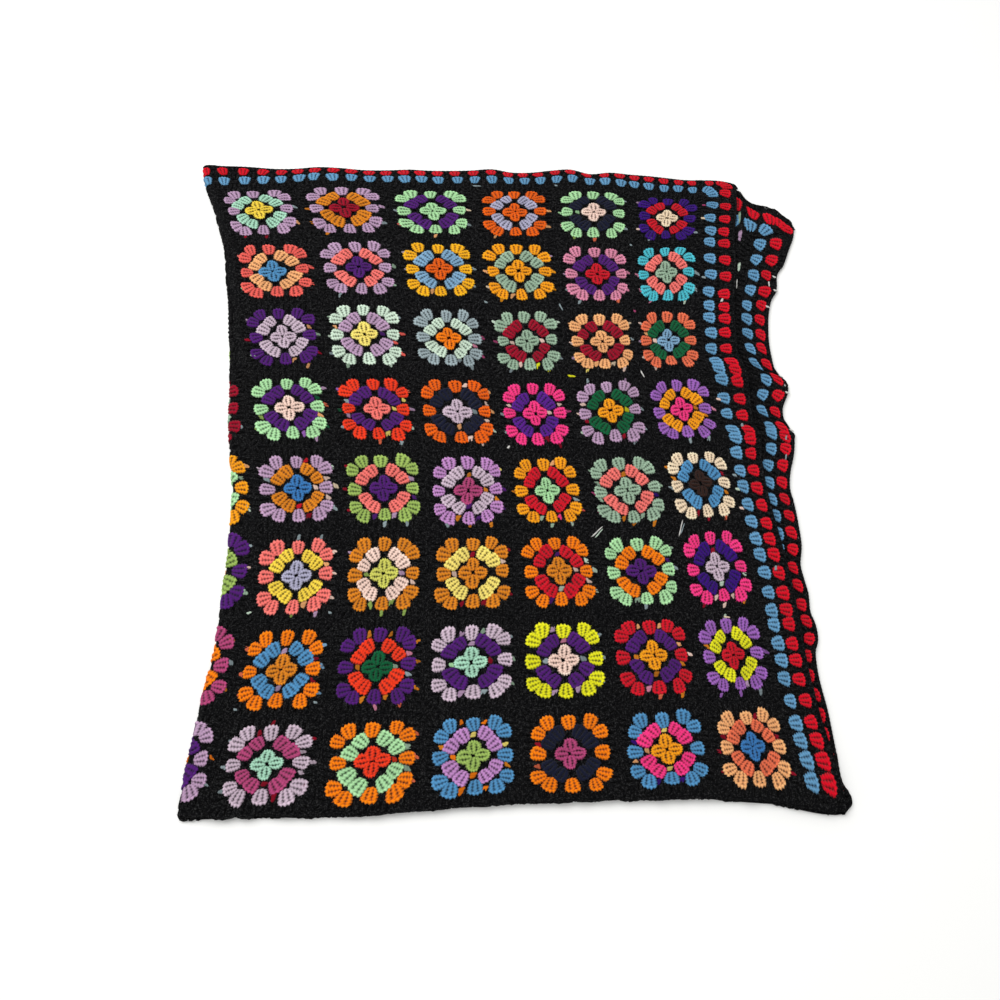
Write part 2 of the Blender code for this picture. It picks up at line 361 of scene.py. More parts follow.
@dataclass(frozen=True)
class FoldedCloth:
    """The cloth's two folds, as a map from the flat cloth to its place in the folded blanket.

    Places on the flat cloth are in squares: `across` is 0 at the seam just right of the left fold
    and grows to the right, and `along` is 0 at the bottom fold, positive on the outer half and
    negative on the half folded under it.
    """

    square: float = 0.132
    edge: float = 0.062
    thickness: float = 0.0032
    layer_gap: float = 0.0010
    right: int = 6
    left: int = 7
    long: int = 8
    # How far left of that seam the left fold runs at the top edge and at the bottom fold, in squares.
    fold_in_top: float = 0.06
    fold_in_bottom: float = 0.36
    # How far the shown end droops over the layers below, in metres, the share of the edging where
    # that starts, its curve, the share lost at the free corner, and where it sets in, in metres from
    # the left fold.
    drop: float = 0.0122
    drop_start: float = 0.4
    drop_power: float = 1.5
    drop_corner: float = 0.6
    drop_reach: Pair = (0.02, 0.12)
    # How far the ends of the three layers below it fall short, in metres, and where that grows, in
    # widths of the edging from the squares' end. Then the share of it that the underside loses at its
    # free corner, where the layer on it loses all, and where a corner sets in, as shares of the way
    # across a layer.
    end_short: float = 0.044
    end_reach: Pair = (-2.0, 1.0)
    corner_short: float = 0.85
    corner_reach: Pair = (0.74, 0.90)
    # How far the sides of the second layer and of the underside fall short, in metres, and over how
    # many metres from the left fold that grows.
    side_short: float = 0.005
    side_reach: float = 0.5
    under_fall: float = 4.0  # the power by which the lower layers fall away to the right
    fold_step: float = 0.1  # squares either way over which the left fold's slope is read
    centre_y: float = 0.003
    # Where across the sections below are read.
    x_places: tuple[float, ...] = (0.5, 2.5, 4.5, 5.5)
    y_places: tuple[float, ...] = (-0.2, 3.0, 5.5)
    # A row for each distance along, from the top edge to the bottom fold: the x of the left fold, of
    # the middles of columns 1, 3, 5 and 6 and of the right side, the y at the left fold, at the end
    # of column 3, at the middle of column 6 and at the side, and x and y of the lower layers' side.
    columns: tuple[str, ...] = (
        "along", "x_fold", "x_1", "x_3", "x_5", "x_6", "x_edge",
        "y_fold", "y_3", "y_6", "y_edge", "x_under", "y_under",
    )  # fmt: skip
    sections: Table = (
        (8.47, -0.512, -0.432, -0.115, 0.166, 0.300, 0.412, 0.552, 0.545, 0.524, 0.503, 0.504, 0.449),
        (8.00, -0.502, -0.425, -0.112, 0.166, 0.300, 0.414, 0.498, 0.494, 0.486, 0.476, 0.508, 0.398),
        (7.50, -0.485, -0.407, -0.110, 0.167, 0.295, 0.412, 0.451, 0.446, 0.438, 0.432, 0.482, 0.336),
        (6.50, -0.453, -0.368, -0.092, 0.175, 0.289, 0.403, 0.334, 0.332, 0.322, 0.318, 0.450, 0.220),
        (5.50, -0.436, -0.346, -0.078, 0.177, 0.281, 0.395, 0.207, 0.201, 0.199, 0.197, 0.464, 0.104),
        (4.50, -0.425, -0.326, -0.057, 0.187, 0.299, 0.409, 0.077, 0.072, 0.072, 0.070, 0.465, -0.010),
        (3.50, -0.409, -0.304, -0.040, 0.208, 0.324, 0.423, -0.060, -0.059, -0.052, -0.053, 0.463, -0.122),
        (2.50, -0.406, -0.297, -0.035, 0.221, 0.335, 0.443, -0.201, -0.193, -0.186, -0.184, 0.468, -0.235),
        (1.50, -0.416, -0.304, -0.031, 0.232, 0.348, 0.457, -0.343, -0.328, -0.319, -0.314, 0.470, -0.345),
        (0.50, -0.434, -0.316, -0.030, 0.247, 0.369, 0.477, -0.475, -0.465, -0.450, -0.444, 0.478, -0.465),
        (0.00, -0.441, -0.325, -0.030, 0.250, 0.372, 0.487, -0.542, -0.526, -0.517, -0.534, 0.486, -0.535),
    )
    # Broad ridges where the layers bunch up: x, y, direction in degrees, half length, half width, rise.
    ridges: Table = (
        (0.400, 0.150, 15.0, 0.120, 0.040, 0.0060),
        (0.415, 0.040, -12.0, 0.110, 0.040, 0.0050),
        (0.330, 0.400, 60.0, 0.120, 0.045, 0.0045),
        (-0.250, 0.470, 5.0, 0.180, 0.045, 0.0040),
        (0.120, 0.475, -4.0, 0.160, 0.040, 0.0035),
        (-0.380, -0.080, 85.0, 0.200, 0.050, 0.0035),
        (0.380, -0.330, 75.0, 0.170, 0.050, 0.0040),
        (-0.100, -0.270, 8.0, 0.220, 0.050, 0.0025),
        (0.100, 0.130, -6.0, 0.220, 0.050, 0.0025),
    )
    # How far the right side strays from its smooth line: squares along, and mm.
    upper_waves: Knots = (
        (0.0, -2.0), (0.2, 0.0), (0.6, -6.0), (1.0, -8.0), (1.4, -6.0), (2.1, -3.0), (2.9, -4.0),
        (3.4, -4.0), (3.9, -1.0), (4.15, 3.0), (4.3, -3.0), (4.6, 0.0), (4.95, 4.0), (5.1, 2.0),
        (5.25, -3.0), (5.6, 0.0), (6.2, -2.0), (6.7, 1.0), (7.2, -2.0), (7.8, 3.0), (8.1, 4.0),
        (8.3, 7.0), (8.45, 3.0),
    )  # fmt: skip
    lower_waves: Knots = (
        (0.0, 0.0), (0.08, 12.0), (0.17, 14.0), (0.28, 6.0), (0.5, 6.0), (1.05, 5.0), (1.3, 2.0),
        (1.5, 0.0), (1.8, 0.5), (1.93, 6.0), (2.05, 7.0), (2.2, 5.0), (2.35, 0.0), (2.6, 1.0),
        (2.8, -2.0), (3.0, -4.0), (3.15, 0.0), (3.3, 3.0), (3.6, 2.0), (3.85, -1.0), (4.1, -6.0),
        (4.35, -3.0), (4.5, 2.0), (4.65, 6.0), (4.85, 8.0), (4.97, 4.0), (5.12, -5.0), (5.3, -5.0),
        (5.42, 1.0), (5.54, 8.0), (5.7, 11.0), (5.8, 2.0), (5.9, -3.0), (6.1, -2.0), (6.5, 0.5),
        (6.9, -2.0), (7.25, -1.0), (7.6, 1.0), (7.9, -2.0), (8.2, 4.0), (8.4, 6.0),
    )  # fmt: skip
    wave_reach: Pair = (0.80, 1.02)
    # Waves of the top edge of the upper layer: squares across, and mm.
    end_waves: Knots = (
        *evenly(0.00, 0.25, (
            1.0, -1.0, 0.0, 1.0, 2.0, 6.0, 4.0, 0.0, 0.0, 2.0, 0.5, 1.0, 3.0, 7.0, 1.0, 2.5, 8.5, 13.0, 5.0,
            9.5, 6.0, 4.0, 2.0, 1.5, 6.0, 10.5,
        )), (6.45, 10.0),
    )  # fmt: skip
    # Waves of the top edge of the layer below: share of its width from the left fold, and mm.
    lower_end_waves: Knots = (
        (0.0, 0.0), (0.75, 0.0), (0.86, 10.0), (0.905, 24.0), (0.917, 29.0), (0.921, 24.5),
        (0.9245, 17.0), (0.928, 12.5), (0.932, 9.5), (0.937, 7.5), (0.949, 7.8), (0.956, 9.0),
        (0.9625, 9.5), (0.974, 5.6), (0.982, 2.0), (0.99, -3.0), (1.0, -3.0),
    )  # fmt: skip
    end_wave_reach: Pair = (-0.3, 0.8)
    # Waves of the side of the layer below: squares along from the bottom fold, and mm.
    lower_side_waves: Knots = (
        (0.0, 0.0), (6.9, 0.0), (7.08, 0.0), (7.13, 2.0), (7.19, 3.7), (7.26, 2.3), (7.33, 0.0),
        (7.44, -4.3), (7.52, -4.8), (7.57, -2.0), (7.62, 0.0), (8.6, 0.0),
    )  # fmt: skip
    side_wave_reach: Pair = (0.93, 1.0)
    # Waves of the bottom fold: squares across, and mm.
    bottom_waves: Knots = (
        (-0.3, 0.0), (0.5, -3.0), (1.0, -6.0), (1.6, -5.0), (2.2, -3.0), (2.8, 2.0), (3.5, 3.0),
        (4.5, 3.0), (5.3, 0.0), (6.4, -3.0),
    )  # fmt: skip
    bottom_reach: float = 0.45
    # Bumps of the bottom fold where the stitches bunch: squares across, and mm.
    bottom_bumps: Knots = (
        (-0.38, 6.0), (-0.34, 4.5), *evenly(-0.30, 0.14, (
            3.0, 2.5, 1.5, -1.5, 1.0, 0.0, 3.5, 1.0, 3.5, 2.0, 3.5, 0.0, 1.0, -0.5, 0.0, 2.0, 2.0, 2.0, 2.0,
            3.0, 1.5, 0.5, 0.5, 1.5, 1.0, 0.0, 0.0, 0.5, 0.0, 0.5, 1.0, -1.0, 0.5, -2.5, -1.0, -2.0, -0.5,
            0.0, 0.0, 1.0, -2.0, -0.5, 0.0, -1.0, -2.0, -3.0, -3.0, -1.5, 4.0,
        )),
    )  # fmt: skip
    bump_reach: float = 0.15
    # How far the left fold strays to the right of its smooth line: squares along, and mm.
    fold_waves: Knots = (
        *evenly(0.00, 0.25, (
            2.0, 2.5, 1.0, 1.5, -0.5, 0.0, 1.0, 3.5, 1.5, 1.0, 0.5, 2.5, 1.5, 2.0, 2.5, 0.5, -1.0, -1.0,
            0.0, 1.5, 0.0, 0.0, -2.0, -2.0, -1.5, -3.0, -2.0, 1.0, 2.0, 0.5, 1.0, 0.5, -1.0, -3.5,
        )),
    )  # fmt: skip
    fold_reach: float = 0.06
    # Where the right side is tucked back on itself: squares along, height in mm, the squares over
    # which it climbs and drops, and where across it starts, as a share of the layer.
    tucks: Table = (
        (5.17, 6.0, 0.40, 0.07, 0.70),
        (4.22, 5.0, 0.35, 0.07, 0.75),
        (1.10, 3.0, 0.35, 0.10, 0.80),
    )
    # How far the middle of each square that shows lies from its even place, in mm across and along:
    # a row of squares a line, from the top edge down.
    drift_across: Table = (
        (1.5, 0.8, 2.6, 3.0, 1.6, -1.6),
        (-4.0, 1.6, -0.9, -4.4, -4.3, -3.5),
        (-0.4, 0.0, 2.9, 0.4, -2.5, 2.0),
        (-0.1, 2.0, -2.7, -5.2, -4.0, -2.5),
        (2.0, -0.9, -0.3, -5.7, -5.6, -6.6),
        (2.5, -1.1, 3.0, 1.8, -1.5, -1.9),
        (-2.7, -2.7, -2.1, -1.3, -0.6, -2.3),
        (-2.0, 2.3, 0.9, -3.6, -4.0, -6.3),
    )
    drift_along: Table = (
        (7.2, 14.2, 9.7, 9.9, 12.6, 1.6),
        (1.1, 9.6, 6.7, 4.5, 1.9, 9.4),
        (4.7, 11.4, 5.6, 1.1, 1.7, 5.0),
        (6.0, 6.4, 2.6, -1.6, 3.1, 6.1),
        (4.3, 4.9, 0.6, -1.4, -4.0, 5.0),
        (3.8, 4.9, 2.8, 3.8, 0.4, 3.9),
        (2.9, 3.8, 5.1, 4.1, 6.8, 4.5),
        (4.9, 5.4, 10.2, 8.5, 7.9, 5.5),
    )
    # The grid that the map is worked out on, in squares: its steps, how much of each bend is finely
    # divided, as a share of a quarter turn, and how far it passes the edging.
    grid_step: float = 0.06
    end_step: float = 0.02
    bend_reach: float = 1.3
    bend_lines: int = 40
    grid_margin: float = 0.06
    side_margin: float = 0.4
    floor_mm: float = 0.15  # the least height of the yarn

    @property
    def square_mm(self) -> float:
        """Side of a square in millimetres."""
        return self.square / MM

    @property
    def field_mm(self) -> tuple[Array, Array]:
        """Lower and upper corner of the joined squares on the flat cloth, in millimetres."""
        low = np.array([-self.left, -self.long]) * self.square_mm
        return low, np.array([self.right, self.long]) * self.square_mm

    @property
    def flat_size(self) -> Pair:
        """Width and length of the whole cloth laid flat, in metres."""
        width = (self.left + self.right) * self.square + 2 * self.edge
        return width, 2 * self.long * self.square + 2 * self.edge

    @property
    def pitch(self) -> float:
        """Distance between the middles of two layers."""
        return self.thickness + self.layer_gap

    @property
    def hairpin_radius(self) -> float:
        """Radius of the bottom fold, on the cloth's middle."""
        return self.pitch / 2

    @property
    def middle_height(self) -> float:
        """Height of the left fold's axis."""
        return 2 * self.pitch - self.layer_gap / 2

    @property
    def edge_squares(self) -> float:
        """Width of the edging in squares."""
        return self.edge / self.square

    @property
    def fold_turn(self) -> float:
        """Squares of cloth in a quarter turn of the left fold."""
        return np.pi / 2 * self.pitch / self.square

    @property
    def hairpin_turn(self) -> float:
        """Squares of cloth in a quarter turn of the bottom fold."""
        return np.pi / 2 * self.hairpin_radius / self.square

    def section(self, name: str, along: Array) -> Array:
        """Read a column of the sections table at each distance along."""
        table = np.array(self.sections)[::-1]
        return through(table[:, 0], table[:, self.columns.index(name)], along)

    def fold_place(self, along: Array) -> Array:
        """Where the left fold crosses the cloth, in squares across: a straight lean."""
        share = np.abs(along) / (self.long + self.edge_squares)
        return -(self.fold_in_bottom + (self.fold_in_top - self.fold_in_bottom) * share)

    def upper_plan(self, across: Array, along: Array, fold: Array) -> tuple[Array, Array]:
        """Plan of the upper layers: a smooth curve across through the sections' columns."""
        start = fold + self.fold_turn
        end = self.right + self.edge_squares
        places = [np.full_like(along, p) for p in (*self.x_places, end)]
        names = ("x_fold", "x_1", "x_3", "x_5", "x_6", "x_edge")
        xs = [self.section(name, along) for name in names]
        xs[0] = xs[0] + self.middle_height
        x = through(np.stack([start, *places], axis=-1), np.stack(xs, axis=-1), across)
        levels = [np.full_like(along, p) for p in (*self.y_places, end)]
        ys = [self.section(name, along) for name in ("y_fold", "y_3", "y_6", "y_edge")]
        return x, through(np.stack(levels, axis=-1), np.stack(ys, axis=-1), across)

    def lower_plan(self, across: Array, along: Array, fold: Array) -> tuple[Array, Array]:
        """Plan of the lower layers: the rows above them, falling to the under edge near the right."""
        start = fold - self.fold_turn
        share = (start - across) / (start + self.left + self.edge_squares)
        above = fold + self.fold_turn + share * (self.right + self.edge_squares - fold)
        _, y_above = self.upper_plan(above, along, fold)
        x_start = self.section("x_fold", along) + self.middle_height
        x = x_start + (self.section("x_under", along) - x_start) * share
        fall = np.maximum(share, 0.0) ** self.under_fall
        drop = self.section("y_under", along) - self.section("y_edge", along)
        return x, y_above + drop * fall

    def rise(self, x: Array, y: Array) -> Array:
        """Height that the ridges add to the top: a bell curve along and across each."""
        total = np.zeros_like(x)
        for cx, cy, degrees, length, width, height in self.ridges:
            turn = np.radians(degrees)
            dx, dy = x - cx, y - cy
            near = (dx * np.cos(turn) + dy * np.sin(turn)) / length
            aside = (dy * np.cos(turn) - dx * np.sin(turn)) / width
            total += height * np.exp(-(near**2) - aside**2)
        return total

    def side_waves(self, spot: Spot) -> Array:
        """How far the right side strays: the tables, growing towards the free side."""
        tables = [np.array(t) for t in (self.upper_waves, self.lower_waves)]
        stray = [through(t[:, 0], t[:, 1], spot.line) for t in tables]
        return np.where(spot.upper, *stray) * MM * smoothstep(spot.free, *self.wave_reach)

    @staticmethod
    def wave(table: Knots, at: Array) -> Array:
        """Read a table of waves in metres, level past its ends."""
        knots = np.array(table)
        return through(knots[:, 0], knots[:, 1], np.clip(at, *knots[[0, -1], 0])) * MM

    def tucked(self, share: Array, along: Array) -> Array:
        """Height of the tucks: each climbs slowly down the side and drops steeply above."""
        total = np.zeros_like(share)
        for at, height, climb, drop, start in self.tucks:
            before = smoothstep(along, at - climb, at) * (along < at)
            after = (1 - smoothstep(along, at, at + drop)) * (along >= at)
            total += height * MM * (before + after) * smoothstep(share, start, 1.0)
        return total

    def drifted(self, across: Array, along: Array) -> tuple[Array, Array]:
        """Move places by the drift tables, which fade to nothing past the squares that show.

        Between the middles of four squares the drift is their mean, weighted by smooth steps.
        """
        u = np.clip(across + 0.5, 0.0, self.right + 0.999)
        v = np.clip(along + 0.5, 0.0, self.long + 0.999)
        i, j = np.floor(u).astype(int), np.floor(v).astype(int)
        s, t = smoothstep(u - i, 0.0, 1.0), smoothstep(v - j, 0.0, 1.0)
        fade = smoothstep(along, self.long + 0.1, self.long + self.edge_squares)
        t = np.where(j == self.long, fade, t)

        def read(table: Table) -> Array:
            """Read one table, in squares."""
            grid = np.pad(np.array(table)[::-1].T, 1)
            low = grid[i, j] * (1 - t) + grid[i, j + 1] * t
            high = grid[i + 1, j] * (1 - t) + grid[i + 1, j + 1] * t
            return (low * (1 - s) + high * s) * MM / self.square

        return across + read(self.drift_across), along + read(self.drift_along)

    def spot(self, across: Array, along: Array) -> Spot:
        """Work out how points of the cloth lie to both folds.

        The bottom fold turns `along` through a half circle, which leaves two layers a pitch apart,
        and the left fold turns both through a second half circle about a line above the floor.
        """
        outer = along > 0
        half = np.pi / 2 * self.hairpin_radius
        turned = np.clip(along * self.square / half, -1.0, 1.0) * np.pi / 2
        past = np.maximum(np.abs(along) * self.square - half, 0.0) / self.square
        fold = self.fold_place(along)
        from_fold = (across - fold) * self.square
        upper = from_fold > 0
        under = (fold - across) / (fold + self.left + self.edge_squares)
        corner = smoothstep(np.where(upper, across / self.right, under), *self.corner_reach)
        near_fold = smoothstep(np.abs(from_fold), *self.drop_reach)
        at_end = (past - self.long) / self.edge_squares
        short = np.where(outer, near_fold * (1 - self.corner_short * corner), 1 - corner * ~upper)
        short = np.where(outer & upper, 0.0, short) * smoothstep(at_end, *self.end_reach)
        return Spot(
            across=across,
            along=along,
            fold=fold,
            from_fold=from_fold,
            upper=upper,
            outer=outer,
            past=past,
            line=past - self.end_short / self.square * short,
            free=np.where(upper, across / (self.right + self.edge_squares), under),
            under=under,
            at_end=at_end,
            corner=corner,
            near_fold=near_fold,
            depth=self.hairpin_radius * np.cos(turned),
            radius=self.pitch / 2 + self.hairpin_radius * (1 + np.sin(turned)),
            bend=np.clip(from_fold / (np.pi / 2 * self.pitch), -1.0, 1.0) * np.pi / 2,
        )

    def plan(self, spot: Spot) -> tuple[Array, Array]:
        """Plan of all the layers, each half circle turned square to the left fold's own line."""
        above = np.maximum(spot.across, spot.fold + self.fold_turn)
        below = np.minimum(spot.across, spot.fold - self.fold_turn)
        up_x, up_y = self.upper_plan(above, spot.line, spot.fold)
        low_x, low_y = self.lower_plan(below, spot.line, spot.fold)
        x = np.where(spot.upper, up_x, low_x)
        y = np.where(spot.upper, up_y, low_y) - spot.depth
        fold_x = self.section("x_fold", spot.line) + self.middle_height
        aside = smoothstep(x - fold_x, 0.0, self.side_reach) * smoothstep(spot.past, 0.0, 1.0)
        x -= np.where(spot.upper != spot.outer, self.side_short * aside, 0.0)
        ahead, behind = spot.line + self.fold_step, spot.line - self.fold_step
        run = self.section("x_fold", ahead) - self.section("x_fold", behind)
        climb = self.section("y_fold", ahead) - self.section("y_fold", behind)
        x -= spot.radius * np.cos(spot.bend) * climb / np.hypot(run, climb)
        y += spot.radius * np.cos(spot.bend) * run / np.hypot(run, climb)
        return x, y

    def strayed(self, spot: Spot, x: Array, y: Array) -> tuple[Array, Array]:
        """Let the sides, the ends and both folds stray from their smooth lines, by the tables."""
        x += self.side_waves(spot)
        near_end = smoothstep(spot.at_end, *self.end_wave_reach)
        y += np.where(spot.outer & spot.upper, self.wave(self.end_waves, spot.across) * near_end, 0.0)
        peeks = ~spot.upper & ~spot.outer
        y += np.where(peeks, self.wave(self.lower_end_waves, spot.under) * near_end, 0.0)
        near_side = smoothstep(spot.under, *self.side_wave_reach)
        from_bottom = np.abs(spot.along)
        x += np.where(peeks, self.wave(self.lower_side_waves, from_bottom) * near_side, 0.0)
        beside = np.where(spot.upper, spot.across, spot.free * self.bottom_waves[-1][0])
        y += self.wave(self.bottom_waves, beside) * (1 - smoothstep(from_bottom, 0.0, self.bottom_reach))
        y += self.wave(self.bottom_bumps, beside) * (1 - smoothstep(from_bottom, 0.0, self.bump_reach))
        near_fold = 1 - smoothstep(np.abs(spot.from_fold), 0.0, self.fold_reach)
        x += self.wave(self.fold_waves, spot.line) * near_fold
        return x, y

    def place(self, across: Array, along: Array) -> Array:
        """Place points of the cloth's middle surface.

        Args:
            across: Squares across.
            along: Squares along.

        Returns:
            Positions in metres.
        """
        spot = self.spot(*self.drifted(across, along))
        x, y = self.strayed(spot, *self.plan(spot))
        z = self.middle_height + spot.radius * np.sin(spot.bend)
        stack = 4 * self.thickness + 3 * self.layer_gap
        lifted = (z - self.thickness / 2) / (stack - self.thickness)
        z += lifted * self.rise(x, y)
        falling = np.clip((spot.at_end - self.drop_start) / (1 - self.drop_start), 0.0, 1.0)
        fall = self.drop * spot.near_fold**2 * (1 - self.drop_corner * spot.corner)
        z -= np.where(spot.outer & spot.upper, fall * falling**self.drop_power, 0.0)
        z += np.where(spot.outer, lifted * self.tucked(spot.free, spot.line), 0.0)
        return np.stack([x, y - self.centre_y, z], axis=-1)

    @cached_property
    def lattice(self) -> tuple[Array, Array, Array, Array]:
        """Places and outward normals on a fine grid of distance from the left fold and along."""
        bend = self.bend_reach * self.fold_turn
        close = np.linspace(-self.bend_reach, self.bend_reach, self.bend_lines)
        reach = self.edge_squares + self.grid_margin
        lower = np.arange(-self.left - reach, -bend, self.grid_step)
        end = self.right + reach + self.side_margin
        upper = np.arange(bend + self.end_step, end, self.grid_step)
        sides = np.unique(np.concatenate([lower, close * self.fold_turn, upper]))
        start = self.bend_reach * self.hairpin_turn + self.end_step
        squares = np.arange(start, self.long, self.grid_step)
        edging = np.arange(self.long, self.long + reach, self.end_step)
        half = np.concatenate([squares, edging])
        rows = np.concatenate([-half[::-1], close * self.hairpin_turn, half])
        along = np.broadcast_to(rows[None, :], (len(sides), len(rows)))
        places = self.place(sides[:, None] + self.fold_place(along), along)
        normal = np.cross(np.gradient(places, sides, axis=0), np.gradient(places, rows, axis=1))
        normal /= np.linalg.norm(normal, axis=-1, keepdims=True)
        return sides, rows, places, normal

    def measured(self, flat: Array) -> tuple[Array, Array, Array]:
        """Turn places in millimetres into squares across, from the left fold, and along."""
        across, along = (flat * MM / self.square).T
        return across, across - self.fold_place(along), along

    def lay(self, flat: Array, height: Array) -> Array:
        """Carry points near the flat cloth through the folds.

        Each point is the cloth's place plus its outward normal times the height, both read
        linearly between the lattice's lines.

        Args:
            flat: Places on the flat cloth, in millimetres across and along.
            height: Millimetres above the cloth's middle, towards its outer face.

        Returns:
            Positions in metres.
        """
        sides, rows, places, normal = self.lattice
        _, from_fold, along = self.measured(flat)
        i = np.clip(np.searchsorted(sides, from_fold) - 1, 0, len(sides) - 2)
        j = np.clip(np.searchsorted(rows, along) - 1, 0, len(rows) - 2)
        u = ((from_fold - sides[i]) / (sides[i + 1] - sides[i]))[:, None]
        v = ((along - rows[j]) / (rows[j + 1] - rows[j]))[:, None]

        def read(table: Array) -> Array:
            """Read a table between the lines round each point."""
            near = table[i, j] * (1 - v) + table[i, j + 1] * v
            far = table[i + 1, j] * (1 - v) + table[i + 1, j + 1] * v
            return near * (1 - u) + far * u

        points = read(places) + read(normal) * (height * MM)[:, None]
        # Yarn under the weight of the layers lies flat on the floor.
        points[:, 2] = np.maximum(points[:, 2], self.floor_mm * MM)
        return points


# ---------------------------------------------------------------- stitches


@dataclass(frozen=True)
class Template:
    """One cluster's shape: points in mm, faces of four corners, two maps and a painted shade per point."""

    points: Array
    faces: Array
    tile: Array
    strand: Array
    tone: Array


def joined(parts: list[Template]) -> Template:
    """Join templates into one, each on its own part of the tile."""
    grid = tiles_a_side(len(parts))
    starts = np.cumsum([0] + [len(p.points) for p in parts[:-1]])
    tiles = [
        (p.tile * 0.94 + 0.03 + np.array([k % grid, k // grid])) / grid
        for k, p in enumerate(parts)
    ]
    return Template(
        np.concatenate([p.points for p in parts]),
        np.concatenate([p.faces + s for p, s in zip(parts, starts)]),
        np.concatenate(tiles),
        np.concatenate([p.strand for p in parts]),
        np.concatenate([p.tone for p in parts]),
    )


def strand(
    centre: Array, side: Array, width: Array, depth: Array, slant: Array, tone: Array,
    side_tone: Array, around: int,
) -> Template:  # fmt: skip
    """Wrap rings round a centre line and close both ends.

    The point of ring k at angle a is centre + side width cos a + up depth sin a, moved along the
    strand by slant |cos a| or slant cos a, so that wraps lean or meet in a V.

    Args:
        centre: Middle of each ring, in mm.
        side: Direction across each ring, level with the cloth.
        width: Half width of each ring.
        depth: Half depth of each ring.
        slant: Two lean values: the first times cos a, the second times its size.
        tone: Painted light on top of each ring: below 1 a painted shade, above 1 a painted highlight.
        side_tone: Painted shade on its two sides, as a share of that.
        around: Corners in a ring, four or six.

    Returns:
        The strand as a template.
    """
    angle = np.radians((0, 90, 180, 270) if around == 4 else (0, 50, 130, 180, 230, 310))
    cos, sin = np.cos(angle)[None, :, None], np.sin(angle)[None, :, None]
    ahead = np.stack([-side[:, 1], side[:, 0], np.zeros(len(side))], axis=1)[:, None, :]
    across = np.column_stack([side, np.zeros(len(side))])[:, None, :]
    up = np.array([0.0, 0.0, 1.0])
    points = centre[:, None, :] + across * width[:, None, None] * cos
    points = points + up * depth[:, None, None] * sin
    points = points + ahead * (slant[0] * cos + slant[1] * np.abs(cos)) * width[:, None, None]
    rings = len(centre)
    k, a = np.meshgrid(np.arange(rings - 1), np.arange(around), indexing="ij")
    k, a = k.ravel(), a.ravel()
    after = (a + 1) % around
    low, high = k * around, (k + 1) * around
    walls = np.stack([low + a, low + after, high + after, high + a], axis=1)
    # On the tile the wall takes the middle eight tenths, and each end a small disc beyond it.
    u, v = a / around, 0.1 + 0.8 * k / (rings - 1)
    wide, tall = 1 / around, 0.8 / (rings - 1)
    corners = ((u, v), (u + wide, v), (u + wide, v + tall), (u, v + tall))
    tile = np.stack([np.column_stack(corner) for corner in corners], axis=1)
    reach = reach_along(centre)
    run = 2 * np.pi * float(width.mean())
    lengths = np.stack([reach[k], reach[k], reach[k + 1], reach[k + 1]], axis=1)
    turns = np.stack([u, u + wide, u + wide, u], axis=1) * run
    cap = np.array([[0, 3, 2, 1]] if around == 4 else [[0, 3, 2, 1], [0, 5, 4, 3]])
    last = (rings - 1) * around
    caps = np.concatenate([cap, cap[:, ::-1] + last])
    disc = 0.04 * np.stack([np.cos(angle), np.sin(angle)], axis=1)
    ends = (disc[cap] + np.array([0.5, 0.05]), disc[cap[:, ::-1]] + np.array([0.5, 0.95]))
    flat = np.concatenate(ends)
    return Template(
        points.reshape(-1, 3),
        np.concatenate([walls, caps]),
        np.concatenate([tile, flat]),
        np.concatenate([np.stack([turns, lengths], axis=2), flat * 10]),
        (tone[:, None] * (1 - (1 - side_tone[:, None]) * np.cos(angle) ** 2)).ravel(),
    )


class Detail(Enum):
    """How finely a cluster is made: rings in a post, corners in a ring, and rings in its plait."""

    FINE = (9, 4, 9)
    PLAIN = (5, 4, 5)
    HIDDEN = (3, 4, 0)


